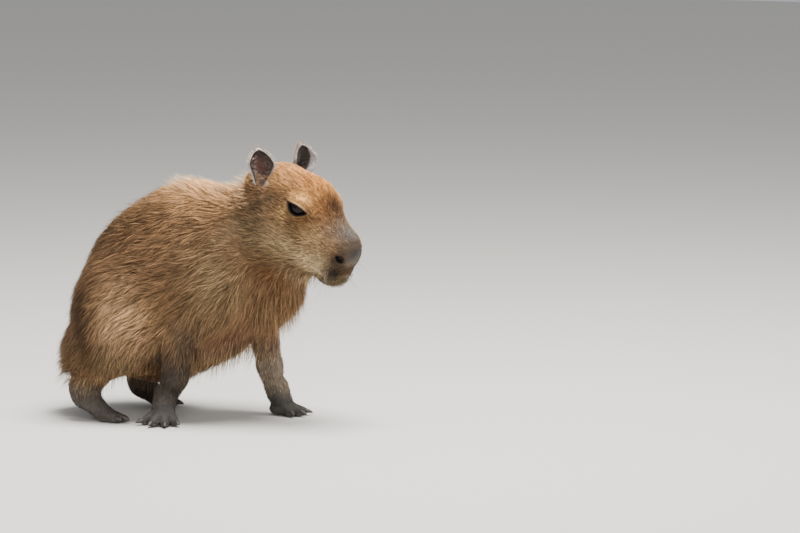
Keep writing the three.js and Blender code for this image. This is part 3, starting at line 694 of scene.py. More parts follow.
# How far each point is pushed in at the slit between the lids, the nostrils and the mouth.
def sunken(p):
    q = inHead(p)
    move = -probe(p)[1] * (mouth["depth"] * bell(lipDistance(q) / 0.9))[:, None]
    for side in sides:
        at = eyeFrame(side)
        local = inEye(p, side)
        upper, lower = slitEdge(local)
        near = (local[:, 0] > 3) & (lengthOf(local) < 20)
        depth = eyelids["depth"] * smooth(0.1 - np.maximum(upper, lower) / 0.8) * near
        move = move - at[:3, 0] * depth[:, None]
        ring, way = nostrilSpot(p, side)
        move = move - way * (nostril["depth"] * smooth((1.15 - ring) / 0.5))[:, None]
    return move


folds = {"wristHeights": (27.0, 31.5, 37.0), "wrist": 0.55, "toeShares": (0.35, 0.62), "toe": 0.35}


# Folds over the wrists and across the toes.
def footDetail(p, d):
    for side in sides:
        wrist = foreLegs[side]["wrist"]
        for i, height in enumerate(folds["wristHeights"]):
            bend = p[:, 2] - height - 2.0 * np.sin((p[:, 0] + p[:, 1]) * 0.09 + i)
            near = bell(lengthOf(p - (wrist[0], wrist[1], height)) / 20)
            d = d + near * folds["wrist"] * bell(bend / 0.8)
        for toe in forePaws[side][1] + hindPaws[side][1]:
            for share in folds["toeShares"]:
                middle = toe["start"] + (toe["end"] - toe["start"]) * share
                along = (p - middle) @ toe["way"]
                near = bell(lengthOf(p - middle - (0, 0, 3)) / 5.5)
                d = d + near * folds["toe"] * bell(along / 0.7)
    return d


def fineSkin(p):
    d = coarseSkin(p)
    onTheHead = (inHead(p)[:, 0] > 25) & (behindHead(p) < 30)
    for chosen, detail in ((onTheHead, faceDetail), (p[:, 2] < 48, footDetail)):
        if chosen.any():
            d[chosen] = detail(p[chosen], d[chosen])
    return np.maximum(d, -p[:, 2])


# The skin starts as the rough shapes of its masses, fused into faces of this size in millimetres.
skinCell = 2.6


def meshOf(name, bm):
    mesh = bpy.data.meshes.new(name)
    bm.to_mesh(mesh)
    bm.free()
    return mesh


def addObject(name, data):
    made = bpy.data.objects.new(name, data)
    bpy.context.scene.collection.objects.link(made)
    return made


def bodyShapes():
    bm = bmesh.new()
    for mass, blend, shape in sum(pawMasses, bodyMasses):
        shape(bm)
    rough = addObject("shapes", meshOf("shapes", bm))
    remesh = rough.modifiers.new("remesh", "REMESH")
    remesh.mode = "VOXEL"
    remesh.voxel_size = skinCell
    view = bpy.context.evaluated_depsgraph_get()
    made = bpy.data.meshes.new_from_object(rough.evaluated_get(view))
    bpy.data.objects.remove(rough)
    return made


def pointsOf(mesh):
    points = np.empty(len(mesh.vertices) * 3)
    mesh.vertices.foreach_get("co", points)
    return points.reshape(-1, 3)


# Only the largest closed surface stays.
def largestPart(bm):
    seen = set()
    best = []
    for start in bm.verts:
        if start in seen:
            continue
        group = [start]
        seen.add(start)
        for vert in group:
            for edge in vert.link_edges:
                other = edge.other_vert(vert)
                if other not in seen:
                    seen.add(other)
                    group.append(other)
        if len(group) > len(best):
            best = group
    keep = set(best)
    bmesh.ops.delete(bm, geom=[v for v in bm.verts if v not in keep], context="VERTS")


def moveVerts(bm, points):
    for vert, at in zip(bm.verts, points):
        vert.co = at


def smoothed(bm):
    bmesh.ops.smooth_vert(
        bm, verts=bm.verts, factor=0.5, use_axis_x=True, use_axis_y=True, use_axis_z=True)


# A ball whose poles lie along x.
def ballAlongX(across, along, radius):
    bm = bmesh.new()
    bmesh.ops.create_uvsphere(bm, u_segments=across, v_segments=along, radius=radius)
    turn = Matrix.Rotation(math.radians(90), 3, "Y")
    bmesh.ops.rotate(bm, verts=bm.verts, cent=(0, 0, 0), matrix=turn)
    return bm


def pointsIn(bm):
    return np.array([vert.co for vert in bm.verts], float)


def refine(bm, wanted):
    chosen = wanted(pointsIn(bm))
    edges = [edge for edge in bm.edges if chosen[edge.verts[0].index] and chosen[edge.verts[1].index]]
    bmesh.ops.subdivide_edges(bm, edges=edges, cuts=1, use_grid_fill=True)
    bm.verts.index_update()


def nearFace(p):
    q = inHead(p)
    return ((q[:, 0] > 22) & (q[:, 2] > -78) & (behindHead(p) < 12)) | (p[:, 2] < 36)


def nearDetails(p):
    q = inHead(p)
    x, y, z = place["eyeSeat"]
    eye = least(lengthOf(q - (x + 3, s * (y + 7), z)) for s in sides) < 16
    front = (q[:, 0] > 98) & (q[:, 2] > -62)
    return eye | front | (lipDistance(q) < 4.49)


# The rough surface is drawn onto the field and smoothed by turns, then made finer at the face and
# the feet.
def skinMesh():
    bm = bmesh.new()
    bm.from_mesh(bodyShapes())
    largestPart(bm)
    points = pointsIn(bm)
    for i in range(7):
        distance, slope = probe(points)
        points = points - slope * np.clip(distance, -2.5, 2.5)[:, None]
        moveVerts(bm, points)
        if i < 5:
            smoothed(bm)
            points = pointsIn(bm)
    moveVerts(bm, settle(coarseSkin, points, 1))
    refine(bm, nearFace)
    refine(bm, nearDetails)
    points = pointsIn(bm)
    close = nearFace(points)
    points[close] = settle(fineSkin, points[close], 2, 1.0)
    front = close & (inHead(points)[:, 0] > 20) & (points[:, 2] > 120)
    points[front] += sunken(points[front])
    points[:, 2] = np.maximum(points[:, 2], 0)
    moveVerts(bm, points)
    say(f"skin of {len(bm.faces)} faces")
    return bm


skinForm = skinMesh()


# Materials. Each reads Object coordinates in metres and the piece's own attributes.
def newMaterial(name, sockets):
    material = bpy.data.materials.new(name)
    material.use_nodes = True
    nodes = material.node_tree.nodes
    nodes.clear()
    output = nodes.new("ShaderNodeOutputMaterial")
    shader = nodes.new("ShaderNodeBsdfPrincipled")
    material.node_tree.links.new(shader.outputs["BSDF"], output.inputs["Surface"])
    for key, value in sockets.items():
        shader.inputs[key].default_value = value
    return material, material.node_tree, shader


def feed(tree, socket, value):
    if isinstance(value, bpy.types.NodeSocket):
        tree.links.new(value, socket)
    else:
        socket.default_value = value


def node(tree, kind, inputs=None, **settings):
    made = tree.nodes.new(kind)
    for key, value in settings.items():
        setattr(made, key, value)
    for key, value in (inputs or {}).items():
        feed(tree, made.inputs[key], value)
    return made


def attribute(tree, name, output):
    return node(tree, "ShaderNodeAttribute", attribute_name=name).outputs[output]


def spread(tree, value, low, high, fromLow=0.0, fromHigh=1.0):
    made = node(tree, "ShaderNodeMapRange", {
        "Value": value,
        "From Min": fromLow,
        "From Max": fromHigh,
        "To Min": low,
        "To Max": high,
    })
    return made.outputs["Result"]


def mixed(tree, first, second, factor, blend="MIX"):
    made = node(tree, "ShaderNodeMix", data_type="RGBA", blend_type=blend)
    for number, value in ((0, factor), (6, first), (7, second)):
        feed(tree, made.inputs[number], value)
    return made.outputs[2]


def multiplied(tree, colour, value):
    grey = node(tree, "ShaderNodeCombineColor", {"Red": value, "Green": value, "Blue": value})
    return mixed(tree, colour, grey.outputs["Color"], 1.0, "MULTIPLY")


def maths(tree, kind, first, second):
    made = node(tree, "ShaderNodeMath", operation=kind)
    for socket, value in zip(made.inputs, (first, second)):
        feed(tree, socket, value)
    return made.outputs["Value"]


def coordinates(tree):
    return node(tree, "ShaderNodeTexCoord").outputs["Object"]


def noise(tree, size, detail=4.0):
    made = node(tree, "ShaderNodeTexNoise", {
        "Vector": coordinates(tree),
        "Scale": 1 / size,
        "Detail": detail,
        "Roughness": 0.5,
    })
    return made.outputs["Fac"]


# Noise of one size that makes a colour darker or lighter between two shares.
def blotches(tree, size, low, high, detail=4.0):
    return spread(tree, noise(tree, size, detail), low, high, 0.3, 0.7)


def bumped(tree, shader, heights, distance, strength=1.0):
    made = node(tree, "ShaderNodeBump", {"Height": heights, "Distance": distance, "Strength": strength})
    tree.links.new(made.outputs["Normal"], shader.inputs["Normal"])


coatLook = {
    "luck": (0.28, 1.8),
    "rootToTip": (0.45, 1.35),
    "paleTips": 2.1,
    "paleFrom": 0.7,
    "sockets": {
        "Roughness": 0.6,
        "Specular IOR Level": 0.14,
        "Sheen Weight": 0.03,
        "Sheen Roughness": 0.5,
    },
}


def makeCoatMaterial():
    material, tree, shader = newMaterial("coat_hair", coatLook["sockets"])
    strand = node(tree, "ShaderNodeSeparateXYZ", {"Vector": attribute(tree, "strand", "Vector")})
    along, luck, pick = strand.outputs["X"], strand.outputs["Y"], strand.outputs["Z"]
    shade = spread(tree, luck, *coatLook["luck"])
    length = spread(tree, along, *coatLook["rootToTip"])
    colour = multiplied(tree, attribute(tree, "tint", "Color"), maths(tree, "MULTIPLY", shade, length))
    pale = spread(tree, pick, 1.0, coatLook["paleTips"], coatLook["paleFrom"], 1.0)
    tipped = spread(tree, along, 0.0, 1.0, 0.15, 0.8)
    colour = mixed(tree, colour, multiplied(tree, colour, pale), tipped)
    tree.links.new(colour, shader.inputs["Base Color"])
    return material


skinLook = {
    "blotch": 0.006,
    # Painted shade: where the skin is furred its colour is darkened to this share, as deep among the
    # hairs.
    "shadeUnderHair": 0.6,
    "roughness": (0.75, 0.45),
    "wrinkles": 900.0,
    "grain": 0.0012,
    "relief": 0.00035,
    "sockets": {"Specular IOR Level": 0.2},
}


def makeSkinMaterial():
    material, tree, shader = newMaterial("skin_and_underfur", skinLook["sockets"])
    tint = attribute(tree, "tint", "Color")
    bare = attribute(tree, "bare", "Fac")
    mottled = blotches(tree, skinLook["blotch"], 0.75, 1.25)
    # Furred skin is darkened here: painted shade among the hairs.
    furred = multiplied(tree, tint, maths(tree, "MULTIPLY", mottled, skinLook["shadeUnderHair"]))
    colour = mixed(tree, furred, multiplied(tree, tint, mottled), bare)
    tree.links.new(colour, shader.inputs["Base Color"])
    tree.links.new(spread(tree, bare, *skinLook["roughness"]), shader.inputs["Roughness"])
    places = {"Vector": coordinates(tree), "Scale": skinLook["wrinkles"]}
    cells = node(tree, "ShaderNodeTexVoronoi", places, feature="DISTANCE_TO_EDGE")
    wrinkles = spread(tree, cells.outputs["Distance"], 0.0, 1.0, 0.0, 0.12)
    grain = noise(tree, skinLook["grain"], 3.0)
    height = maths(tree, "ADD", maths(tree, "MULTIPLY", wrinkles, 0.5), grain)
    bumped(tree, shader, height, skinLook["relief"], 0.7)
    return material


# The eye's tones, by the angle from the middle of its pupil as a share of the way to its back.
eyeLook = {
    "middle": (0.004, 0.003, 0.003, 1),
    "back": (0.02, 0.014, 0.01, 1),
    "between": {
        0.22: (0.004, 0.003, 0.003, 1),
        0.27: (0.007, 0.005, 0.004, 1),
        0.5: (0.006, 0.004, 0.003, 1),
        0.6: (0.014, 0.01, 0.008, 1),
    },
    "fibres": 0.0006,
    "sockets": {
        "Roughness": 0.25,
        "Specular IOR Level": 0.05,
        "Coat Weight": 0.22,
        "Coat Roughness": 0.05,
    },
}


def makeEyeMaterial():
    material, tree, shader = newMaterial("eye_wet", eyeLook["sockets"])
    ramp = node(tree, "ShaderNodeValToRGB", {"Fac": attribute(tree, "gaze", "Fac")})
    stops = ramp.color_ramp.elements
    stops[0].color = eyeLook["middle"]
    stops[1].color = eyeLook["back"]
    for position, tone in eyeLook["between"].items():
        stops.new(position).color = tone
    fibres = blotches(tree, eyeLook["fibres"], 0.6, 1.5)
    tree.links.new(multiplied(tree, ramp.outputs["Color"], fibres), shader.inputs["Base Color"])
    return material


clawLook = {
    "dark": (0.032, 0.026, 0.022, 1),
    "worn": (0.12, 0.1, 0.085, 1),
    "streaks": 0.0009,
    "relief": 0.0002,
    "sockets": {"Roughness": 0.42},
}


def makeClawMaterial():
    material, tree, shader = newMaterial("claw_horn", clawLook["sockets"])
    colour = multiplied(tree, clawLook["dark"], blotches(tree, clawLook["streaks"], 0.55, 1.5, 5.0))
    worn = spread(tree, noise(tree, 0.003, 2.0), 0.0, 0.5, 0.55, 0.75)
    tree.links.new(mixed(tree, colour, clawLook["worn"], worn), shader.inputs["Base Color"])
    bumped(tree, shader, noise(tree, 0.0008), clawLook["relief"])
    return material


earLook = {
    "blotch": 0.004,
    "grain": 0.0014,
    "relief": 0.0004,
    "sockets": {"Roughness": 0.6, "Specular IOR Level": 0.15},
}


def makeEarMaterial():
    material, tree, shader = newMaterial("ear_skin", earLook["sockets"])
    mottled = blotches(tree, earLook["blotch"], 0.75, 1.3)
    colour = multiplied(tree, attribute(tree, "tint", "Color"), mottled)
    tree.links.new(colour, shader.inputs["Base Color"])
    bumped(tree, shader, noise(tree, earLook["grain"]), earLook["relief"])
    return material


coatMaterial = makeCoatMaterial()
skinMaterial = makeSkinMaterial()
eyeMaterial = makeEyeMaterial()
clawMaterial = makeClawMaterial()
earMaterial = makeEarMaterial()


def settleObject(made, nodes=()):
    polygons = made.data.polygons
    polygons.foreach_set("use_smooth", np.ones(len(polygons), bool))
    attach(made, "root")
    if nodes:
        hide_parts(*nodes)
    return made


def newObject(name, bm, nodes):
    return settleObject(addObject(name, meshOf(name, bm)), nodes)


def setPoints(mesh, points):
    mesh.vertices.foreach_set("co", np.asarray(points, np.float32).ravel())
    mesh.update()


def addColour(mesh, name, colours):
    layer = mesh.color_attributes.new(name, "FLOAT_COLOR", "POINT")
    full = np.ones((len(colours), 4), np.float32)
    full[:, :3] = colours
    layer.data.foreach_set("color", full.ravel())


def addVector(mesh, name, values):
    layer = mesh.attributes.new(name, "FLOAT_VECTOR", "POINT")
    layer.data.foreach_set("vector", np.asarray(values, np.float32).ravel())


def addNumber(mesh, name, values):
    layer = mesh.attributes.new(name, "FLOAT", "POINT")
    layer.data.foreach_set("value", np.asarray(values, np.float32))


# Colours of the coat and the bare skin, each a soft patch round a place: in which frame, where, how
# far it reaches, its colour and its strength. A patch lies on both sides, or on the one that is named.
# Some patches and tones are painted light and shade, as noted beside them.
both = 0
markingsLightAndShade = {
    "body": (0.2, 0.112, 0.054),
    "patches": [
        ("body", (10, 0, 240), (62, 46, 34), (0.86, 0.47, 0.2), 0.92, both),
        ("body", (-46, 46, 205), (40, 30, 26), (0.15, 0.082, 0.036), 0.6, both),
        # Painted shade on the top of the rump.
        ("body", (-86, 0, 192), (40, 70, 32), (0.058, 0.033, 0.016), 0.82, both),
        ("body", (-36, 72, 116), (34, 34, 44), (0.23, 0.14, 0.07), 0.8, both),
        # Painted highlight on the thigh's bulge, and painted shade on its lower side.
        ("body", (-62, 78, 106), (24, 44, 27), (0.5, 0.315, 0.165), 0.88, both),
        ("body", (-66, 74, 72), (30, 36, 17), (0.13, 0.09, 0.046), 0.85, both),
        # Painted shade on the rump's edge, the thigh's back rim and the rump's lower fringe.
        ("body", (-124, 0, 120), (24, 80, 70), (0.05, 0.025, 0.01), 0.9, both),
        ("body", (-98, 76, 112), (14, 34, 50), (0.038, 0.019, 0.008), 0.92, both),
        ("body", (-138, 0, 58), (34, 60, 32), (0.08, 0.047, 0.018), 0.85, both),
        ("body", (26, 66, 118), (18, 30, 24), (0.16, 0.098, 0.046), 0.6, both),
        ("body", (-28, 72, 108), (20, 30, 20), (0.46, 0.285, 0.14), 0.85, both),
        ("body", (4, 66, 92), (17, 26, 21), (0.105, 0.074, 0.046), 0.82, both),
        # Painted shade under the chest and belly, between the forelegs.
        ("body", (40, 0, 80), (46, 56, 22), (0.055, 0.027, 0.012), 0.85, both),
        ("body", (40, 64, 152), (28, 34, 36), (0.25, 0.178, 0.088), 0.7, both),
        ("body", (92, 0, 122), (32, 50, 36), (0.15, 0.087, 0.037), 0.8, both),
        ("body", (96, 34, 160), (20, 26, 20), (0.13, 0.078, 0.036), 0.6, both),
        ("body", (62, 46, 198), (24, 24, 24), (0.09, 0.053, 0.023), 0.85, both),
        # Left side only: painted light on the upper part of the left foreleg.
        ("body", (52, 44, 96), (26, 18, 30), (0.32, 0.17, 0.1), 0.7, 1),
        ("body", (30, 26, 78), (34, 22, 26), (0.3, 0.16, 0.11), 0.5, both),
        ("head", (12, 0, 16), (40, 34, 22), (0.62, 0.31, 0.105), 0.92, both),
        ("head", (54, 0, 18), (26, 26, 14), (0.58, 0.25, 0.06), 0.92, both),
        ("head", (68, 14, 2), (16, 12, 12), (0.38, 0.17, 0.055), 0.7, both),
        ("head", (43, 38, -9), (7, 8, 10), (0.6, 0.37, 0.14), 0.8, both),
        ("head", (29, 37, -4), (13, 14, 13), (0.075, 0.04, 0.016), 0.92, both),
        ("head", (18, 42, -20), (16, 16, 15), (0.06, 0.034, 0.014), 0.9, both),
        ("head", (8, 33, 4), (6, 5, 8), (0.26, 0.21, 0.155), 0.7, both),
        ("head", (54, 32, 8), (15, 10, 6), (0.86, 0.47, 0.13), 0.95, both),
        ("head", (64, 32, -15), (12, 10, 6), (0.28, 0.14, 0.048), 0.8, both),
        ("head", (54, 34, -27), (26, 12, 9), (0.13, 0.075, 0.031), 0.75, both),
        ("head", (80, 27, -28), (18, 14, 12), (0.33, 0.21, 0.095), 0.85, both),
        ("head", (55, 34, -44), (34, 18, 13), (0.36, 0.265, 0.135), 0.8, both),
        # The cheek's underside: partly its own cream colour, partly painted light from below.
        ("head", (90, 24, -50), (18, 14, 12), (0.74, 0.56, 0.32), 0.95, both),
        ("head", (72, 20, -69), (24, 18, 9), (0.18, 0.125, 0.058), 0.8, both),
        ("head", (54, 16, -73), (15, 16, 8), (0.2, 0.065, 0.02), 0.75, both),
        ("head", (78, 0, 6), (20, 16, 15), (0.03, 0.012, 0.003), 0.95, both),
        ("head", (100, 0, -13), (14, 17, 12), (0.128, 0.114, 0.1), 0.95, both),
        ("head", (114, 0, -27), (10, 26, 16), (0.024, 0.021, 0.018), 1.0, both),
        # Painted shade round the nostril.
        ("head", (108, 17, -34), (7, 7, 6), (0.014, 0.011, 0.009), 0.85, both),
        ("head", (98, 10, -67), (14, 18, 7), (0.14, 0.115, 0.07), 0.9, both),
        ("head", (112, 0, -61), (11, 18, 8), (0.13, 0.105, 0.055), 0.95, both),
        ("head", (109, 17, -49), (14, 15, 12), (0.017, 0.012, 0.008), 1.0, both),
        ("head", (119, 0, -51), (3, 10, 9), (0.26, 0.225, 0.13), 0.85, both),
        ("body", (66, 46, 228), (11, 18, 12), (0.2, 0.125, 0.06), 0.75, both),
    ],
    # The left forearm's tone is partly its pinkish inner skin and partly painted light; the left hind
    # foot's tone is painted shade.
    "limbs": {
        "forearm": (0.055, 0.043, 0.033),
        "forefoot": (0.078, 0.073, 0.067),
        "litInnerArm": (0.27, 0.21, 0.155),
        "shank": (0.12, 0.09, 0.062),
        "hindfoot": (0.108, 0.094, 0.083),
        "shadedFarFoot": (0.05, 0.036, 0.028),
    },
    # Painted shade in the sunk notch before each ear.
    "notch": (0.05, 0.03, 0.024),
    "lid": (0.014, 0.011, 0.01),
    # The nostril tone is painted shade inside its opening.
    "nostril": (0.008, 0.006, 0.005),
}


def tintAt(p):
    colour = np.tile(np.array(markingsLightAndShade["body"]), (len(p), 1))
    head = inHead(p)
    for where, at, reach, tone, strength, which in markingsLightAndShade["patches"]:
        q = (head if where == "head" else p).copy()
        if which == both:
            q[:, 1] = np.abs(q[:, 1])
        weight = strength * bell(lengthOf((q - at) / reach))
        if where == "head":
            weight = weight * (1 - smooth((behindHead(p) - 20) / 30))
        colour += (np.array(tone) - colour) * weight[:, None]
    foot = np.minimum(offBones(p, forearmBones), offBones(p, pawBones) - 4)
    arm = (1 - smooth((foot - 3) / 10)) * (1 - smooth((p[:, 2] - 48) / 46))
    foot = np.minimum(offBones(p, shankBones), offBones(p, toeBones) - 2)
    shank = (1 - smooth((foot - 4) / 16)) * (1 - smooth((p[:, 2] - 34) / 12))
    low = (1 - smooth((p[:, 2] - 12) / 24))[:, None]
    left = smooth((p[:, 1] + 10) / 20)[:, None]
    limbs = {name: np.array(tone) for name, tone in markingsLightAndShade["limbs"].items()}
    # The left forearm is painted lighter and the left hind foot darker, as light and shade.
    armTone = limbs["forearm"] * (1 - left) + limbs["litInnerArm"] * left
    armTone = armTone * (1 - low) + limbs["forefoot"] * low
    footTone = limbs["hindfoot"] * (1 - left) + limbs["shadedFarFoot"] * left
    footTone = limbs["shank"] * (1 - low) + footTone * low
    colour += (armTone - colour) * arm[:, None]
    colour += (footTone - colour) * shank[:, None]
    lids, nostrils, lips = openings(p)
    # Painted shade in the ear notches and the nostrils; the lid tone is the dark skin of the lids and
    # lips.
    notch = 1 - smooth((earNotch(head) - 0.75) / 0.3)
    for share, tone in ((notch, "notch"), (lids, "lid"), (nostrils, "nostril"), (lips, "lid")):
        colour += (np.array(markingsLightAndShade[tone]) - colour) * share[:, None]
    return colour


draw = np.random.default_rng(coat["seed"])


# Soft waves of about the given size, the same at each run.
def ripple(p, size, seed):
    waves = np.random.default_rng(seed)
    total = np.zeros(len(p))
    for i in range(6):
        way = waves.normal(size=3)
        way /= np.linalg.norm(way)
        total += np.sin(p @ way * (2 * math.pi / size) * waves.uniform(0.7, 1.5) + waves.uniform(0, 6.3))
    return total / 3


def unwrap(made):
    layer = made.data.uv_layers.new(name="OFBake")
    made.data.uv_layers.active = layer
    bpy.context.view_layer.objects.active = made
    made.select_set(True)
    bpy.ops.object.mode_set(mode="EDIT")
    bpy.ops.mesh.select_all(action="SELECT")
    bpy.ops.uv.smart_project(angle_limit=math.radians(66), island_margin=0.002)
    bpy.ops.object.mode_set(mode="OBJECT")
    made.select_set(False)


fleshNodes = ["head", "neck", "torso"]
for name in sideName.values():
    fleshNodes += [f"foreleg_{name}", f"hindleg_{name}", f"forefoot_{name}", f"hindfoot_{name}"]
skin = newObject("skin", skinForm, fleshNodes)
unwrap(skin)
skinPoints = pointsOf(skin.data)
addColour(skin.data, "tint", tintAt(skinPoints))
addNumber(skin.data, "bare", bareness(skinPoints))
setPoints(skin.data, toMetres(skinPoints))
skin.data.materials.clear()
skin.data.materials.append(skinMaterial)
say("skin unwrapped and marked")


def skinTriangles():
    mesh = skin.data
    mesh.calc_loop_triangles()
    count = len(mesh.loop_triangles)
    corners = np.empty(count * 3, np.int32)
    loops = np.empty(count * 3, np.int32)
    mesh.loop_triangles.foreach_get("vertices", corners)
    mesh.loop_triangles.foreach_get("loops", loops)
    uv = np.empty(len(mesh.loops) * 2)
    mesh.uv_layers["OFBake"].data.foreach_get("uv", uv)
    corners, loops = corners.reshape(-1, 3), loops.reshape(-1, 3)
    return skinPoints[corners], uv.reshape(-1, 2)[loops]


triangles, triangleUv = skinTriangles()
crossed = np.cross(triangles[:, 1] - triangles[:, 0], triangles[:, 2] - triangles[:, 0])
triangleArea = lengthOf(crossed) / 2
middles = triangles.mean(1)
bodyShare = longCoat(middles)
headShare = (1 - bodyShare) * (1 - smooth((behindHead(middles) - 16) / 12))
legShare = (1 - bodyShare) * smooth((behindHead(middles) - 16) / 12)
furred = 1 - bareness(middles)
for name, share in (("body", bodyShare), ("head", headShare), ("legs", legShare)):
    say(f"skin area of the {name} {(triangleArea * share).sum() / 100:.0f} cm2")


# Roots spread over the skin by weight, each with its place on the unwrap.
def drawRoots(weight, count):
    total = np.cumsum(triangleArea * weight)
    picks = (np.arange(count) + draw.random(count)) / count * total[-1]
    chosen = np.minimum(np.searchsorted(total, picks), len(total) - 1)
    a, b = draw.random((2, count))
    over = a + b > 1
    a[over], b[over] = 1 - a[over], 1 - b[over]
    shares = np.stack([1 - a - b, a, b], 1)[:, :, None]
    return (triangles[chosen] * shares).sum(1), (triangleUv[chosen] * shares).sum(1)


# The coat's lower edge over the hind legs, in millimetres over the floor. It holds for roots behind
# and above the last two values, and its waves double over a short way at the rump.
hem = {"height": 46, "wave": 3, "raggedBehind": -118, "raggedOver": 14, "behind": -30, "above": 43}


# Each tuft runs from its root along the lie, held at its own height over the skin, and then leans
# towards the middle of the lock that it belongs to.
def pathsOf(roots, lengths, heights, steps, wander, clump):
    count = len(roots)
    yaw = draw.normal(0, wander, count) + 0.2 * ripple(roots, 30, 3) + 0.06 * ripple(roots, 9, 4)
    ragged = 1 + smooth((hem["raggedBehind"] - roots[:, 0]) / hem["raggedOver"])
    uneven = hem["wave"] * ripple(roots, 11, 9) + draw.uniform(-3, 2, count)
    lowest = hem["height"] + ragged * uneven
    fringe = (roots[:, 0] < hem["behind"]) & (roots[:, 2] > hem["above"])
    path = [roots.copy()]
    p = roots.copy()
    for i in range(1, len(steps)):
        distance, normal = probe(p)
        way = lieAt(p)
        way = unit(way - normal * (way * normal).sum(1, keepdims=True))
        across = np.cross(normal, way)
        turn = (yaw * (0.5 + steps[i]))[:, None]
        way = way * np.cos(turn) + across * np.sin(turn)
        reach = lengths * (steps[i] - steps[i - 1])
        p = p + way * reach[:, None]
        distance, normal = probe(p)
        wanted = heights * (1 - (1 - steps[i]) ** 1.7)
        lift = np.clip(wanted - distance, -reach * 0.8, reach * 0.8)
        p = p + normal * lift[:, None]
        p[fringe, 2] = np.maximum(p[fringe, 2], lowest[fringe])
        path.append(p.copy())
    path = np.stack(path, 1)
    if clump > 0:
        leaders = draw.choice(count, max(count * coat["leadersPerThousand"] // 1000, 8), replace=False)
        tree = KDTree(len(leaders))
        for i, leader in enumerate(leaders):
            tree.insert(roots[leader], i)
        tree.balance()
        nearest = np.array([tree.find(root)[1] for root in roots])
        ahead = path[leaders][nearest]
        strength = clump * draw.uniform(0.3, 1.0, count)
        for i in range(1, len(steps)):
            pull = (strength * steps[i] ** 1.4)[:, None]
            path[:, i] += (ahead[:, i] - path[:, i]) * pull
    return path


# The three edges of each tuft at each step and its tip, and how far along the tuft each point is.
def tuftPoints(path, widths, flat, steps):
    count, rings = path.shape[0], path.shape[1] - 1
    tangent = np.empty_like(path)
    tangent[:, 1:-1] = path[:, 2:] - path[:, :-2]
    tangent[:, 0] = path[:, 1] - path[:, 0]
    tangent[:, -1] = path[:, -1] - path[:, -2]
    normal = probe(path.reshape(-1, 3))[1].reshape(path.shape)
    tangent = unit(tangent.reshape(-1, 3)).reshape(path.shape)
    side = unit(np.cross(tangent, normal).reshape(-1, 3)).reshape(path.shape)
    up = np.cross(side, tangent)
    roll = draw.uniform(-0.6, 0.6, count)[:, None, None]
    side, up = side * np.cos(roll) + up * np.sin(roll), up * np.cos(roll) - side * np.sin(roll)
    verts = np.empty((count, rings * 3 + 1, 3))
    along = np.empty((count, rings * 3 + 1))
    for i in range(rings):
        t = steps[i]
        wide = (widths * (1 - t) ** 0.55 * (0.8 + 0.35 * math.sin(math.pi * min(t * 1.5, 1))))[:, None]
        centre = path[:, i]
        verts[:, i * 3] = centre - side[:, i] * wide * 0.5
        verts[:, i * 3 + 1] = centre + up[:, i] * wide * flat
        verts[:, i * 3 + 2] = centre + side[:, i] * wide * 0.5
        along[:, i * 3:i * 3 + 3] = t
    verts[:, -1] = path[:, -1]
    along[:, -1] = 1
    return verts, along


# The corners of one tuft's faces in order: three quads from step to step, then three to the tip.
def tuftFaces(rings):
    faces = []
    for i in range(rings - 1):
        a, b = i * 3, i * 3 + 3
        faces += [(a, a + 1, b + 1, b), (a + 1, a + 2, b + 2, b + 1), (a + 2, a, b, b + 2)]
    last, tip = (rings - 1) * 3, rings * 3
    return faces + [(last, last + 1, tip), (last + 1, last + 2, tip), (last + 2, last, tip)]


# One mesh of tapered tufts, with their colours and the patches that they bake on.
def tuftPiece(name, path, widths, flat, tints, uvs, steps):
    verts, along = tuftPoints(path, widths, flat, steps)
    count, perTuft = along.shape
    rings = len(steps) - 1
    faces = tuftFaces(rings)
    pattern = [corner for face in faces for corner in face]
    loops = (np.arange(count)[:, None] * perTuft + np.array(pattern)[None, :]).ravel()
    totals = np.tile([len(face) for face in faces], count)
    starts = np.concatenate([[0], np.cumsum(totals)[:-1]])
    mesh = bpy.data.meshes.new(name)
    mesh.vertices.add(count * perTuft)
    mesh.vertices.foreach_set("co", toMetres(verts.reshape(-1, 3)).astype(np.float32).ravel())
    mesh.loops.add(len(loops))
    mesh.loops.foreach_set("vertex_index", loops.astype(np.int32))
    mesh.polygons.add(len(totals))
    mesh.polygons.foreach_set("loop_start", starts.astype(np.int32))
    mesh.update(calc_edges=True)
    acrossUv = [-0.5, 0.0, 0.5] * rings + [0.0]
    patch = np.stack([np.tile(acrossUv, (count, 1)), along - 0.5], 2)
    uvPoint = uvs[:, None, :] + coat["bakePatch"] * patch
    layer = mesh.uv_layers.new(name="OFBake")
    layer.data.foreach_set("uv", uvPoint.reshape(-1, 2)[loops].astype(np.float32).ravel())
    addColour(mesh, "tint", np.repeat(tints, perTuft, 0))
    luck, pick = (np.tile(draw.random(count)[:, None], perTuft) for i in range(2))
    addVector(mesh, "strand", np.stack([along, luck, pick], 2).reshape(-1, 3))
    mesh.materials.append(coatMaterial)
    settleObject(addObject(name, mesh))


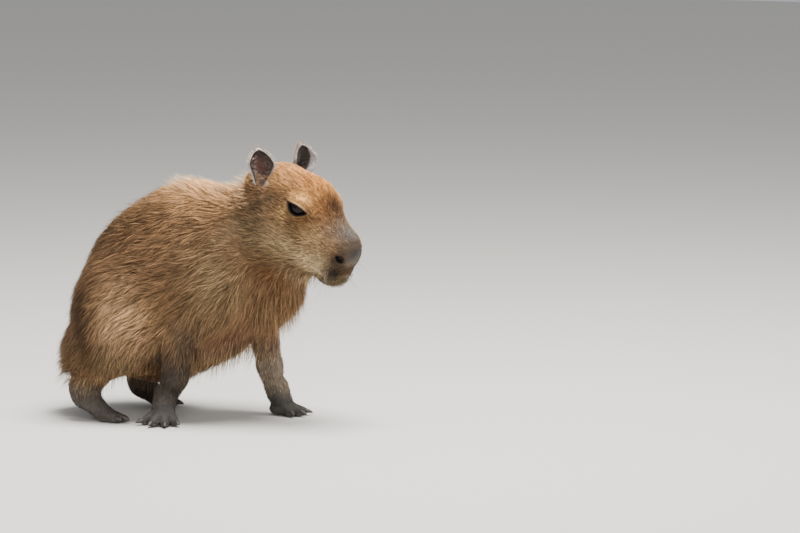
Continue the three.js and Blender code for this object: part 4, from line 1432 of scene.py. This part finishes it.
# One kind of tuft over a part of the skin. Some of them are longer and finer guard hairs.
def growCoat(name, weight, count, length, width, height, steps, clump, wander, tone=1.0):
    roots, uvs = drawRoots(weight, count)
    normal = probe(roots)[1]
    lengths = length(roots) * draw.uniform(*coat["lengthSpan"], count)
    widths = width(roots) * draw.uniform(*coat["widthSpan"], count)
    heights = height(roots) * draw.uniform(*coat["heightSpan"], count)
    guard = draw.random(count) < coat["guardShare"]
    lengths[guard] *= coat["guardLonger"]
    widths[guard] *= coat["guardFiner"]
    heights[guard] *= coat["guardLonger"]
    path = pathsOf(roots, lengths, heights, steps, wander, clump)
    path[:, 0] -= normal * coat["rootSunk"]
    kept = np.min([earNotch(inHead(path[:, i])) for i in range(1, len(steps))], axis=0) > 0.95
    path, roots, uvs, widths = path[kept], roots[kept], uvs[kept], widths[kept]
    count = len(path)
    streaks = 1 + 0.14 * ripple(roots, 14, 7) + coat["streak"] * ripple(roots, 3.4, 8)
    tints = tone * tintAt(roots) * np.clip(streaks, 0.35, 1.7)[:, None]
    order = draw.permutation(count)
    perTuft = (len(steps) - 2) * 6 + 3
    pieces = math.ceil(count * perTuft / coat["pieceTriangles"])
    for i in range(pieces):
        part = order[i::pieces]
        piece = f"{name}_{i + 1}"
        tuftPiece(piece, path[part], widths[part], coat["flat"], tints[part], uvs[part], steps)
    say(f"{name}: {count} tufts in {pieces} pieces, {count * perTuft} triangles")


def headLength(p):
    q = inHead(p)
    fore = smooth((q[:, 0] - 30) / 75)
    x, y, z = place["eyeSeat"]
    eye = least(lengthOf(q - (x, s * y, z)) for s in sides)
    cheek = bell((q[:, 0] - 30) / 30) * smooth((-q[:, 2] - 20) / 25)
    back = smooth((behindHead(p) + 30) / 34)
    longer = 1.15 - 0.75 * fore + 1.1 * cheek + 0.8 * back
    return coat["headLength"] * longer * (0.45 + 0.55 * smooth((eye - 12) / 14))


def headHeight(p):
    return 1.0 + 1.6 * smooth(headLength(p) / 9) + (coatDepth(p) - 1) * smooth((behindHead(p) + 8) / 24)


def bodyLength(p):
    length = coat["bodyLength"] * (0.4 + 0.6 * longCoat(p))
    length = length + coat["rumpLonger"] * hump(p, (-146, -6, 68), 40)
    hemmed = np.clip((p[:, 2] - 32) / 26, 0.25, 1)
    return length * np.where(p[:, 0] < -30, hemmed, 1)


def bodyHeight(p):
    crest = coat["crestHigher"] * hump(p, (20, 0, 236), 36)
    return coatDepth(p) * (0.25 + 0.75 * longCoat(p)) + coat["rise"] + crest


# The hair of the legs grows longer towards the elbows and knees.
def legLength(p):
    low = smooth((p[:, 2] - 10) / 40)
    high = smooth((p[:, 2] - 48) / 36)
    length = coat["footLength"] + (coat["legLength"] - coat["footLength"]) * low
    return length + coat["elbowLonger"] * high


def legHeight(p):
    low = 0.6 * smooth((p[:, 2] - 10) / 40)
    high = 1.2 * smooth((p[:, 2] - 56) / 30)
    return coat["legDepth"] * (0.6 + low + high)


growCoat(
    "coat_under", bodyShare * furred, coat["underCount"],
    lambda p: bodyLength(p) * coat["underLength"],
    lambda p: coat["underWidth"] * (0.7 + 0.3 * longCoat(p)),
    lambda p: bodyHeight(p) * 0.6,
    steps=[0, 0.5, 1], clump=coat["clump"] * 0.5, wander=0.2, tone=coat["underTone"],
)
growCoat(
    "coat_body", bodyShare * furred, coat["bodyCount"],
    bodyLength,
    lambda p: coat["bodyWidth"] * (0.6 + 0.4 * longCoat(p)),
    bodyHeight,
    steps=[0, 0.3, 0.66, 1], clump=coat["clump"], wander=0.14,
)
growCoat(
    "coat_head", headShare * furred, coat["headCount"],
    headLength,
    lambda p: coat["headWidth"] * (0.7 + 0.5 * smooth(headLength(p) / 10)),
    headHeight,
    steps=[0, 0.5, 1], clump=0.2, wander=0.1,
)
growCoat(
    "coat_legs", legShare * furred, coat["legCount"],
    legLength,
    lambda p: coat["footWidth"] + (coat["legWidth"] - coat["footWidth"]) * smooth((p[:, 2] - 10) / 40),
    legHeight,
    steps=[0, 0.5, 1], clump=0.25, wander=0.12,
)


# Eyes: a ball with a raised front, its tones ringed by the angle from its middle.
eyeForm = {"cornea": 0.7, "corneaAngle": 34}


def makeEye(side):
    bm = ballAlongX(48, 32, place["eyeRadius"])
    points = pointsIn(bm)
    angle = np.arccos(np.clip(points[:, 0] / place["eyeRadius"], -1, 1))
    raised = eyeForm["cornea"] * smooth(1.2 - angle / math.radians(eyeForm["corneaAngle"]))
    points = points * (1 + raised / place["eyeRadius"])[:, None]
    moveVerts(bm, toMetres(fromFrame(eyeFrame(side), points)))
    name = sideName[side]
    made = newObject(f"eye_{name}_wet", bm, [f"eye_{name}"])
    addNumber(made.data, "gaze", angle / math.pi)
    made.data.materials.append(eyeMaterial)


# Ears: a cupped leaf drawn up from its root, with a rolled rim.
earForm = {
    "heights": (0, 0.2, 0.4, 0.58, 0.7, 0.8, 0.9, 0.96, 1),
    "inward": {
        -1: (5, 9, 13, 15.5, 13.5, 10, 5.5, 2, -1),
        1: (5, 9, 12, 14, 13.5, 12.5, 10.5, 8.5, 5.5),
    },
    "outward": {
        -1: (4, 7, 11, 14.5, 14.3, 12.5, 10, 8, 5),
        1: (8, 14, 18.5, 20.5, 19, 15.5, 9.5, 5, -0.5),
    },
    "thickness": 1.3,
    "height": {-1: 36, 1: 35},
    "outside": (0.26, 0.16, 0.09),
    "inside": (0.03, 0.022, 0.02),
    # Left ear: near black in the middle of the cup and a greyer, darker rim, both painted shade.
    "cupMiddle": {-1: (0.1, 0.042, 0.032), 1: (0.012, 0.01, 0.009)},
    "rim": {-1: (0.55, 0.47, 0.4), 1: (0.32, 0.29, 0.29)},
}


def earFrame(side):
    x, y, z = place["earSeat"]
    at = headPlace(x, side * y, z) @ turned(x=-side * place["earLean"])
    return at @ turned(z=side * place["earFacing"][side]) @ turned(y=-place["headPitch"] * 0.5)


def earEdges(v, side):
    fine = np.linspace(0, 1, 41)
    edges = []
    for name in ("inward", "outward"):
        values = np.interp(fine, earForm["heights"], earForm[name][side])
        for i in range(3):
            values[1:-1] = (values[:-2] + 2 * values[1:-1] + values[2:]) / 4
        edges.append(np.interp(v, fine, values))
    return edges


# How far forward the leaf's front face lies, at u from edge to edge and v from root to tip.
def leafFront(u, v):
    return 3 - place["earCup"] * (1 - v * 0.55) * (1 - u * u) - 5 * v * v


def earPoints(u, v, side):
    inward, outward = earEdges(v, side)
    y = -inward + (u + 1) / 2 * (inward + outward)
    wave = 0.5 * np.sin(v * 17 + u * 2) * u**2
    return np.stack([leafFront(u, v) + wave, side * y, v * earForm["height"][side]], 1)


# Dark inside the cup, its middle pink on the right ear and near black on the left as painted shade;
# brown outside, and a pale rim, greyer and darker on the left ear as painted shade.
def earTones(points, side):
    height = points[:, 2] / earForm["height"][side]
    inward, outward = earEdges(height, side)
    across = np.clip((points[:, 1] * side + inward) / (inward + outward) * 2 - 1, -1.2, 1.2)
    inner = smooth((points[:, 0] - leafFront(across, height) + 0.8) / 0.8)
    cupMiddle = bell(across / 0.5) * bell((height - 0.35) / 0.3)
    wide = np.where((side > 0) & (across > 0) & (inner > 0.5), 0.6, 0.86)
    rim = np.maximum(smooth((np.abs(across) - wide) / 0.12), smooth((height - 0.93) / 0.05))
    inside, outside = np.array(earForm["inside"]), np.array(earForm["outside"])
    hollow = inside + (np.array(earForm["cupMiddle"][side]) - inside) * cupMiddle[:, None]
    tone = outside + (hollow - outside) * inner[:, None]
    return tone + (np.array(earForm["rim"][side]) - tone) * rim[:, None]


def makeEar(side):
    bm = bmesh.new()
    bmesh.ops.create_grid(bm, x_segments=28, y_segments=36, size=1)
    grid = pointsIn(bm)
    u, v = grid[:, 0], (grid[:, 1] + 1) / 2
    moveVerts(bm, earPoints(u, v, side))
    smoothed(bm)
    if side > 0:
        bmesh.ops.reverse_faces(bm, faces=bm.faces)
    bmesh.ops.solidify(bm, geom=bm.faces[:], thickness=earForm["thickness"])
    points = pointsIn(bm)
    moveVerts(bm, toMetres(fromFrame(earFrame(side), points)))
    bmesh.ops.recalc_face_normals(bm, faces=bm.faces)
    name = sideName[side]
    made = newObject(f"ear_{name}_leaf", bm, [f"ear_{name}"])
    addColour(made.data, "tint", earTones(points, side))
    made.data.materials.append(earMaterial)


# Claws: blunt, thick and a little hooked.
def makeClaw(name, toe):
    bm = ballAlongX(20, 16, 1)
    radius = toe["radius"] - place["clawTrim"]
    points = pointsIn(bm)
    t = np.maximum(points[:, 0], 0)
    thin = 1 - 0.35 * t
    points[:, 1] *= radius * thin
    points[:, 2] *= radius * thin * np.where(points[:, 2] > 0, 1.0, 0.7)
    points[:, 0] *= np.where(points[:, 0] > 0, place["clawLength"], 2.5)
    points[:, 2] -= 1.6 * t**2
    way = toe["way"]
    across = np.array((-way[1], way[0], 0))
    centre = toe["end"] + way * (toe["radius"] - 1.5)
    world = centre + points[:, :1] * way + points[:, 1:2] * across
    world[:, 2] += points[:, 2]
    world[:, 2] = np.maximum(world[:, 2], 0.02)
    moveVerts(bm, toMetres(world))
    made = newObject(f"{name}_horn", bm, [name])
    made.data.materials.append(clawMaterial)


# Hairs that don't follow the skin: each runs straight from its root and droops a little. Their
# patches to bake on lie at drawn places of the skin's unwrap.
def strayHair(name, roots, ways, lengths, widths, droop, tints):
    steps = [0, 0.55, 1]
    ways = unit(ways)
    down = np.array((0, 0, -1)) * (lengths * droop)[:, None]
    path = [roots + ways * (lengths * t)[:, None] + down * t * t for t in steps]
    uvs = triangleUv[draw.integers(0, len(triangleUv), len(roots)), 0]
    tuftPiece(name, np.stack(path, 1), widths, 0.5, tints, uvs, steps)


# Hairs of each ear, of four kinds: along its rim, over its back, a pale brush before its root, and
# inside its cup. Each kind has a share on each side, a shortest and longest length, and a tone.
earHairs = {
    "count": 1500,
    "width": (0.28, 0.5),
    "droop": 0.1,
    "shares": {-1: (0.2, 0.27, 0.23, 0.3), 1: (0.35, 0.5, 0.03, 0.12)},
    "lengths": [(1.5, 3.5), (2, 4), (4, 8), (3, 6.5)],
    "tones": [(0.62, 0.54, 0.46), (0.36, 0.22, 0.12), (0.5, 0.44, 0.37), (0.22, 0.17, 0.145)],
}


def makeEarHair(side):
    count = earHairs["count"]
    at = earFrame(side)
    kind = draw.choice(4, count, p=earHairs["shares"][side])
    v = np.where(kind == 2, draw.uniform(-0.05, 0.2, count), draw.uniform(0.05, 1.0, count))
    v = np.where(kind == 3, draw.uniform(0.0, 0.75, count), v)
    edge = np.where(draw.random(count) < 0.5, -1.0, 1.0)
    u = np.where(kind == 0, edge * draw.uniform(0.94, 1.0, count), draw.uniform(-1, 1, count))
    u = np.where(kind == 2, draw.uniform(-0.6, 0.8, count), u)
    u = np.where(kind == 3, edge * draw.uniform(0.3, 0.95, count), u)
    point = earPoints(u, v, side)
    outwards = np.stack([np.zeros(count), side * u, np.ones(count) * 0.9], 1)
    back = np.stack([-0.25 * np.ones(count), side * u * 0.4, np.ones(count)], 1)
    brush = np.stack([0.7 + 0 * u, side * u * 1.1, 0.8 + 0 * u], 1)
    inner = np.stack([0.45 + 0 * u, -side * u * 0.9, 0.55 + 0 * u], 1)
    ways = np.stack([outwards, back, brush, inner])
    way = ways[kind, np.arange(count)]
    way += draw.normal(0, 0.18, (count, 3))
    point[:, 0] -= np.where(kind == 1, earForm["thickness"] * 1.05, 0)
    shortest, longest = np.array(earHairs["lengths"])[kind].T
    lengths = draw.uniform(shortest, longest)
    tones = np.array(earHairs["tones"])[kind] * draw.uniform(0.45, 1.2, count)[:, None]
    roots = fromFrame(at, point)
    widths = draw.uniform(*earHairs["width"], count)
    way = way @ at[:3, :3].T
    strayHair(f"coat_ear_{sideName[side]}", roots, way, lengths, widths, earHairs["droop"], tones)


# Loose hairs that break the outline: place, reach, count, way, length, tone, and how far they droop.
looseHair = {
    "width": 0.5,
    "places": [
        ("body", (12, 0, 236), (36, 34, 16), 800, (-0.8, 0, 1), (13, 23), (0.6, 0.41, 0.23), 0.1),
        ("body", (56, 0, 222), (18, 34, 16), 260, (-0.8, 0, 0.6), (8, 14), (0.5, 0.33, 0.18), 0.1),
        ("body", (-70, 0, 206), (50, 50, 24), 420, (-0.9, 0, 0.3), (11, 18), (0.26, 0.15, 0.07), 0.1),
        # Darker hairs at the rump's edge: painted shade of the rump.
        ("body", (-128, 0, 120), (26, 60, 60), 420, (-0.7, 0, -0.5), (10, 18), (0.15, 0.085, 0.036), 0.3),
        ("body", (-146, 0, 66), (24, 60, 26), 900, (-1, 0, -0.3), (10, 20), (0.22, 0.145, 0.07), 0.3),
        ("body", (-84, 66, 60), (34, 30, 18), 420, (-0.3, 0, -1), (8, 15), (0.26, 0.17, 0.08), 0.3),
        ("body", (104, 0, 148), (22, 44, 24), 320, (0.3, 0, -1), (8, 16), (0.26, 0.17, 0.085), 0.3),
        ("body", (88, 0, 112), (24, 44, 28), 520, (0.15, 0, -1), (11, 21), (0.25, 0.15, 0.07), 0.3),
        ("body", (-50, 14, 46), (26, 30, 12), 240, (-0.2, 0, -1), (7, 13), (0.08, 0.045, 0.02), 0.3),
        ("body", (20, 0, 76), (46, 44, 16), 620, (-0.4, 0, -1), (10, 22), (0.3, 0.2, 0.1), 0.35),
        ("head", (110, 0, -58), (8, 18, 8), 220, (-0.1, 0, -1), (1.2, 3), (0.2, 0.165, 0.09), 0.1),
        ("head", (60, 0, -72), (30, 26, 8), 420, (-0.5, 0, -1), (5, 10), (0.3, 0.22, 0.12), 0.3),
    ],
}


def makeLooseHair():
    grown = []
    for where, at, reach, count, way, lengths, tone, droop in looseHair["places"]:
        q = inHead(middles) if where == "head" else middles.copy()
        q[:, 1] = np.abs(q[:, 1])
        near = bell(lengthOf((q - at) / reach))
        start = drawRoots(furred * near * (near > 0.2), count)[0]
        lean = lieAt(start) * 0.7 + probe(start)[1] * 0.55 + np.array(way) * 0.6
        lean = unit(lean + draw.normal(0, 0.16, (count, 3)))
        long = draw.uniform(*lengths, count)
        tones = np.tile(np.array(tone), (count, 1)) * draw.uniform(0.55, 1.35, count)[:, None]
        grown.append((start, lean, long, np.full(count, droop), tones))
    roots, ways, lengths, droops, tones = (np.concatenate(column) for column in zip(*grown))
    roots = roots + ways * coat["depth"] * 0.4
    strayHair("coat_loose", roots, ways, lengths, np.full(len(roots), looseHair["width"]), droops, tones)


# Whiskers round the lips, some dark and some pale.
whiskers = {
    "count": 44,
    "long": 30,
    "short": 9,
    "width": 0.2,
    "droop": 0.22,
    "dark": (0.08, 0.06, 0.045),
    "pale": (0.36, 0.31, 0.24),
}


def makeWhiskers():
    count = whiskers["count"]
    sign = np.where(np.arange(count) % 2 == 0, -1.0, 1.0)
    x, z = draw.uniform(90, 110, count), draw.uniform(-64, -40, count)
    y = sign * draw.uniform(14, 30, count)
    start = fromFrame(headFrame, np.stack([x, y, z], 1))
    for i in range(8):
        distance, normal = probe(start)
        start = start - normal * distance[:, None]
    x = draw.uniform(-0.1, 1, count)
    y = sign * draw.uniform(0.3, 0.9, count)
    z = draw.uniform(-0.9, 0.0, count)
    way = unit(np.stack([x, y, z], 1)) @ headFrame[:3, :3].T + probe(start)[1] * 0.4
    lengths = draw.uniform(whiskers["short"], whiskers["long"], count)
    pale = draw.random(count)[:, None]
    tints = np.array(whiskers["dark"]) * (1 - pale) + np.array(whiskers["pale"]) * pale
    widths = np.full(count, whiskers["width"])
    strayHair("whiskers", start, way, lengths, widths, whiskers["droop"], tints)


for side in sides:
    makeEarHair(side)
    makeEye(side)
    makeEar(side)
    for foot, paws in (("forefoot", forePaws), ("hindfoot", hindPaws)):
        for i, toe in enumerate(paws[side][1]):
            makeClaw(f"claw_{foot}_{sideName[side]}_{i + 1}", toe)
makeLooseHair()
makeWhiskers()
say("eyes, ears and claws")


# Floor, lights and camera. Each lamp has its place and size in metres and its power in watts.
stageLook = {
    "floor": (0.62, 0.6, 0.57, 1),
    "sky": (0.95, 0.97, 1.0, 1),
    "skyStrength": 0.5,
    "lampTone": (1.0, 0.97, 0.93),
    "lampTarget": (0, 0, 0.14),
    "lamps": {"overhead": ((0.35, -0.1, 1.9), 1.0, 115), "front": ((0.9, -1.8, 0.9), 1.2, 26)},
}


def makeStage():
    bm = bmesh.new()
    bmesh.ops.create_grid(bm, x_segments=1, y_segments=1, size=6)
    bmesh.ops.translate(bm, verts=bm.verts, vec=(0, 0, -0.0004))
    floor = addObject("floor", meshOf("floor", bm))
    sockets = {"Base Color": stageLook["floor"], "Roughness": 0.9}
    floor.data.materials.append(newMaterial("floor_plain", sockets)[0])
    world = bpy.data.worlds.new("studio")
    world.use_nodes = True
    back = world.node_tree.nodes["Background"]
    back.inputs["Color"].default_value = stageLook["sky"]
    back.inputs["Strength"].default_value = stageLook["skyStrength"]
    bpy.context.scene.world = world
    for name, (at, size, power) in stageLook["lamps"].items():
        lamp = bpy.data.lights.new(name, "AREA")
        lamp.energy = power
        lamp.size = size
        lamp.color = stageLook["lampTone"]
        made = addObject(name, lamp)
        made.location = at
        aim = Vector(stageLook["lampTarget"]) - Vector(at)
        made.rotation_euler = aim.to_track_quat("-Z", "Y").to_euler()


# The middle of the view is in millimetres to the right of the body's own origin and above the floor.
cameraPlace = {"azimuth": 20, "elevation": 7, "distance": 5, "lens": 225, "middle": (191, 150.5)}


def makeCamera():
    a, e = math.radians(cameraPlace["azimuth"]), math.radians(cameraPlace["elevation"])
    back = Vector((math.sin(a) * math.cos(e), -math.cos(a) * math.cos(e), math.sin(e)))
    right = Vector((math.cos(a), math.sin(a), 0))
    up = back.cross(right)
    across, rise = cameraPlace["middle"]
    centre = (right * across + up * rise + Vector(shift)) * 0.001
    camera = bpy.data.cameras.new("camera")
    camera.lens = cameraPlace["lens"]
    camera.sensor_width = 36
    made = addObject("camera", camera)
    axes = Matrix((right, up, back)).transposed().to_4x4()
    made.matrix_world = Matrix.Translation(centre + back * cameraPlace["distance"]) @ axes
    bpy.context.scene.camera = made


makeStage()
makeCamera()
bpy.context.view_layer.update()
say("stage and sizes")
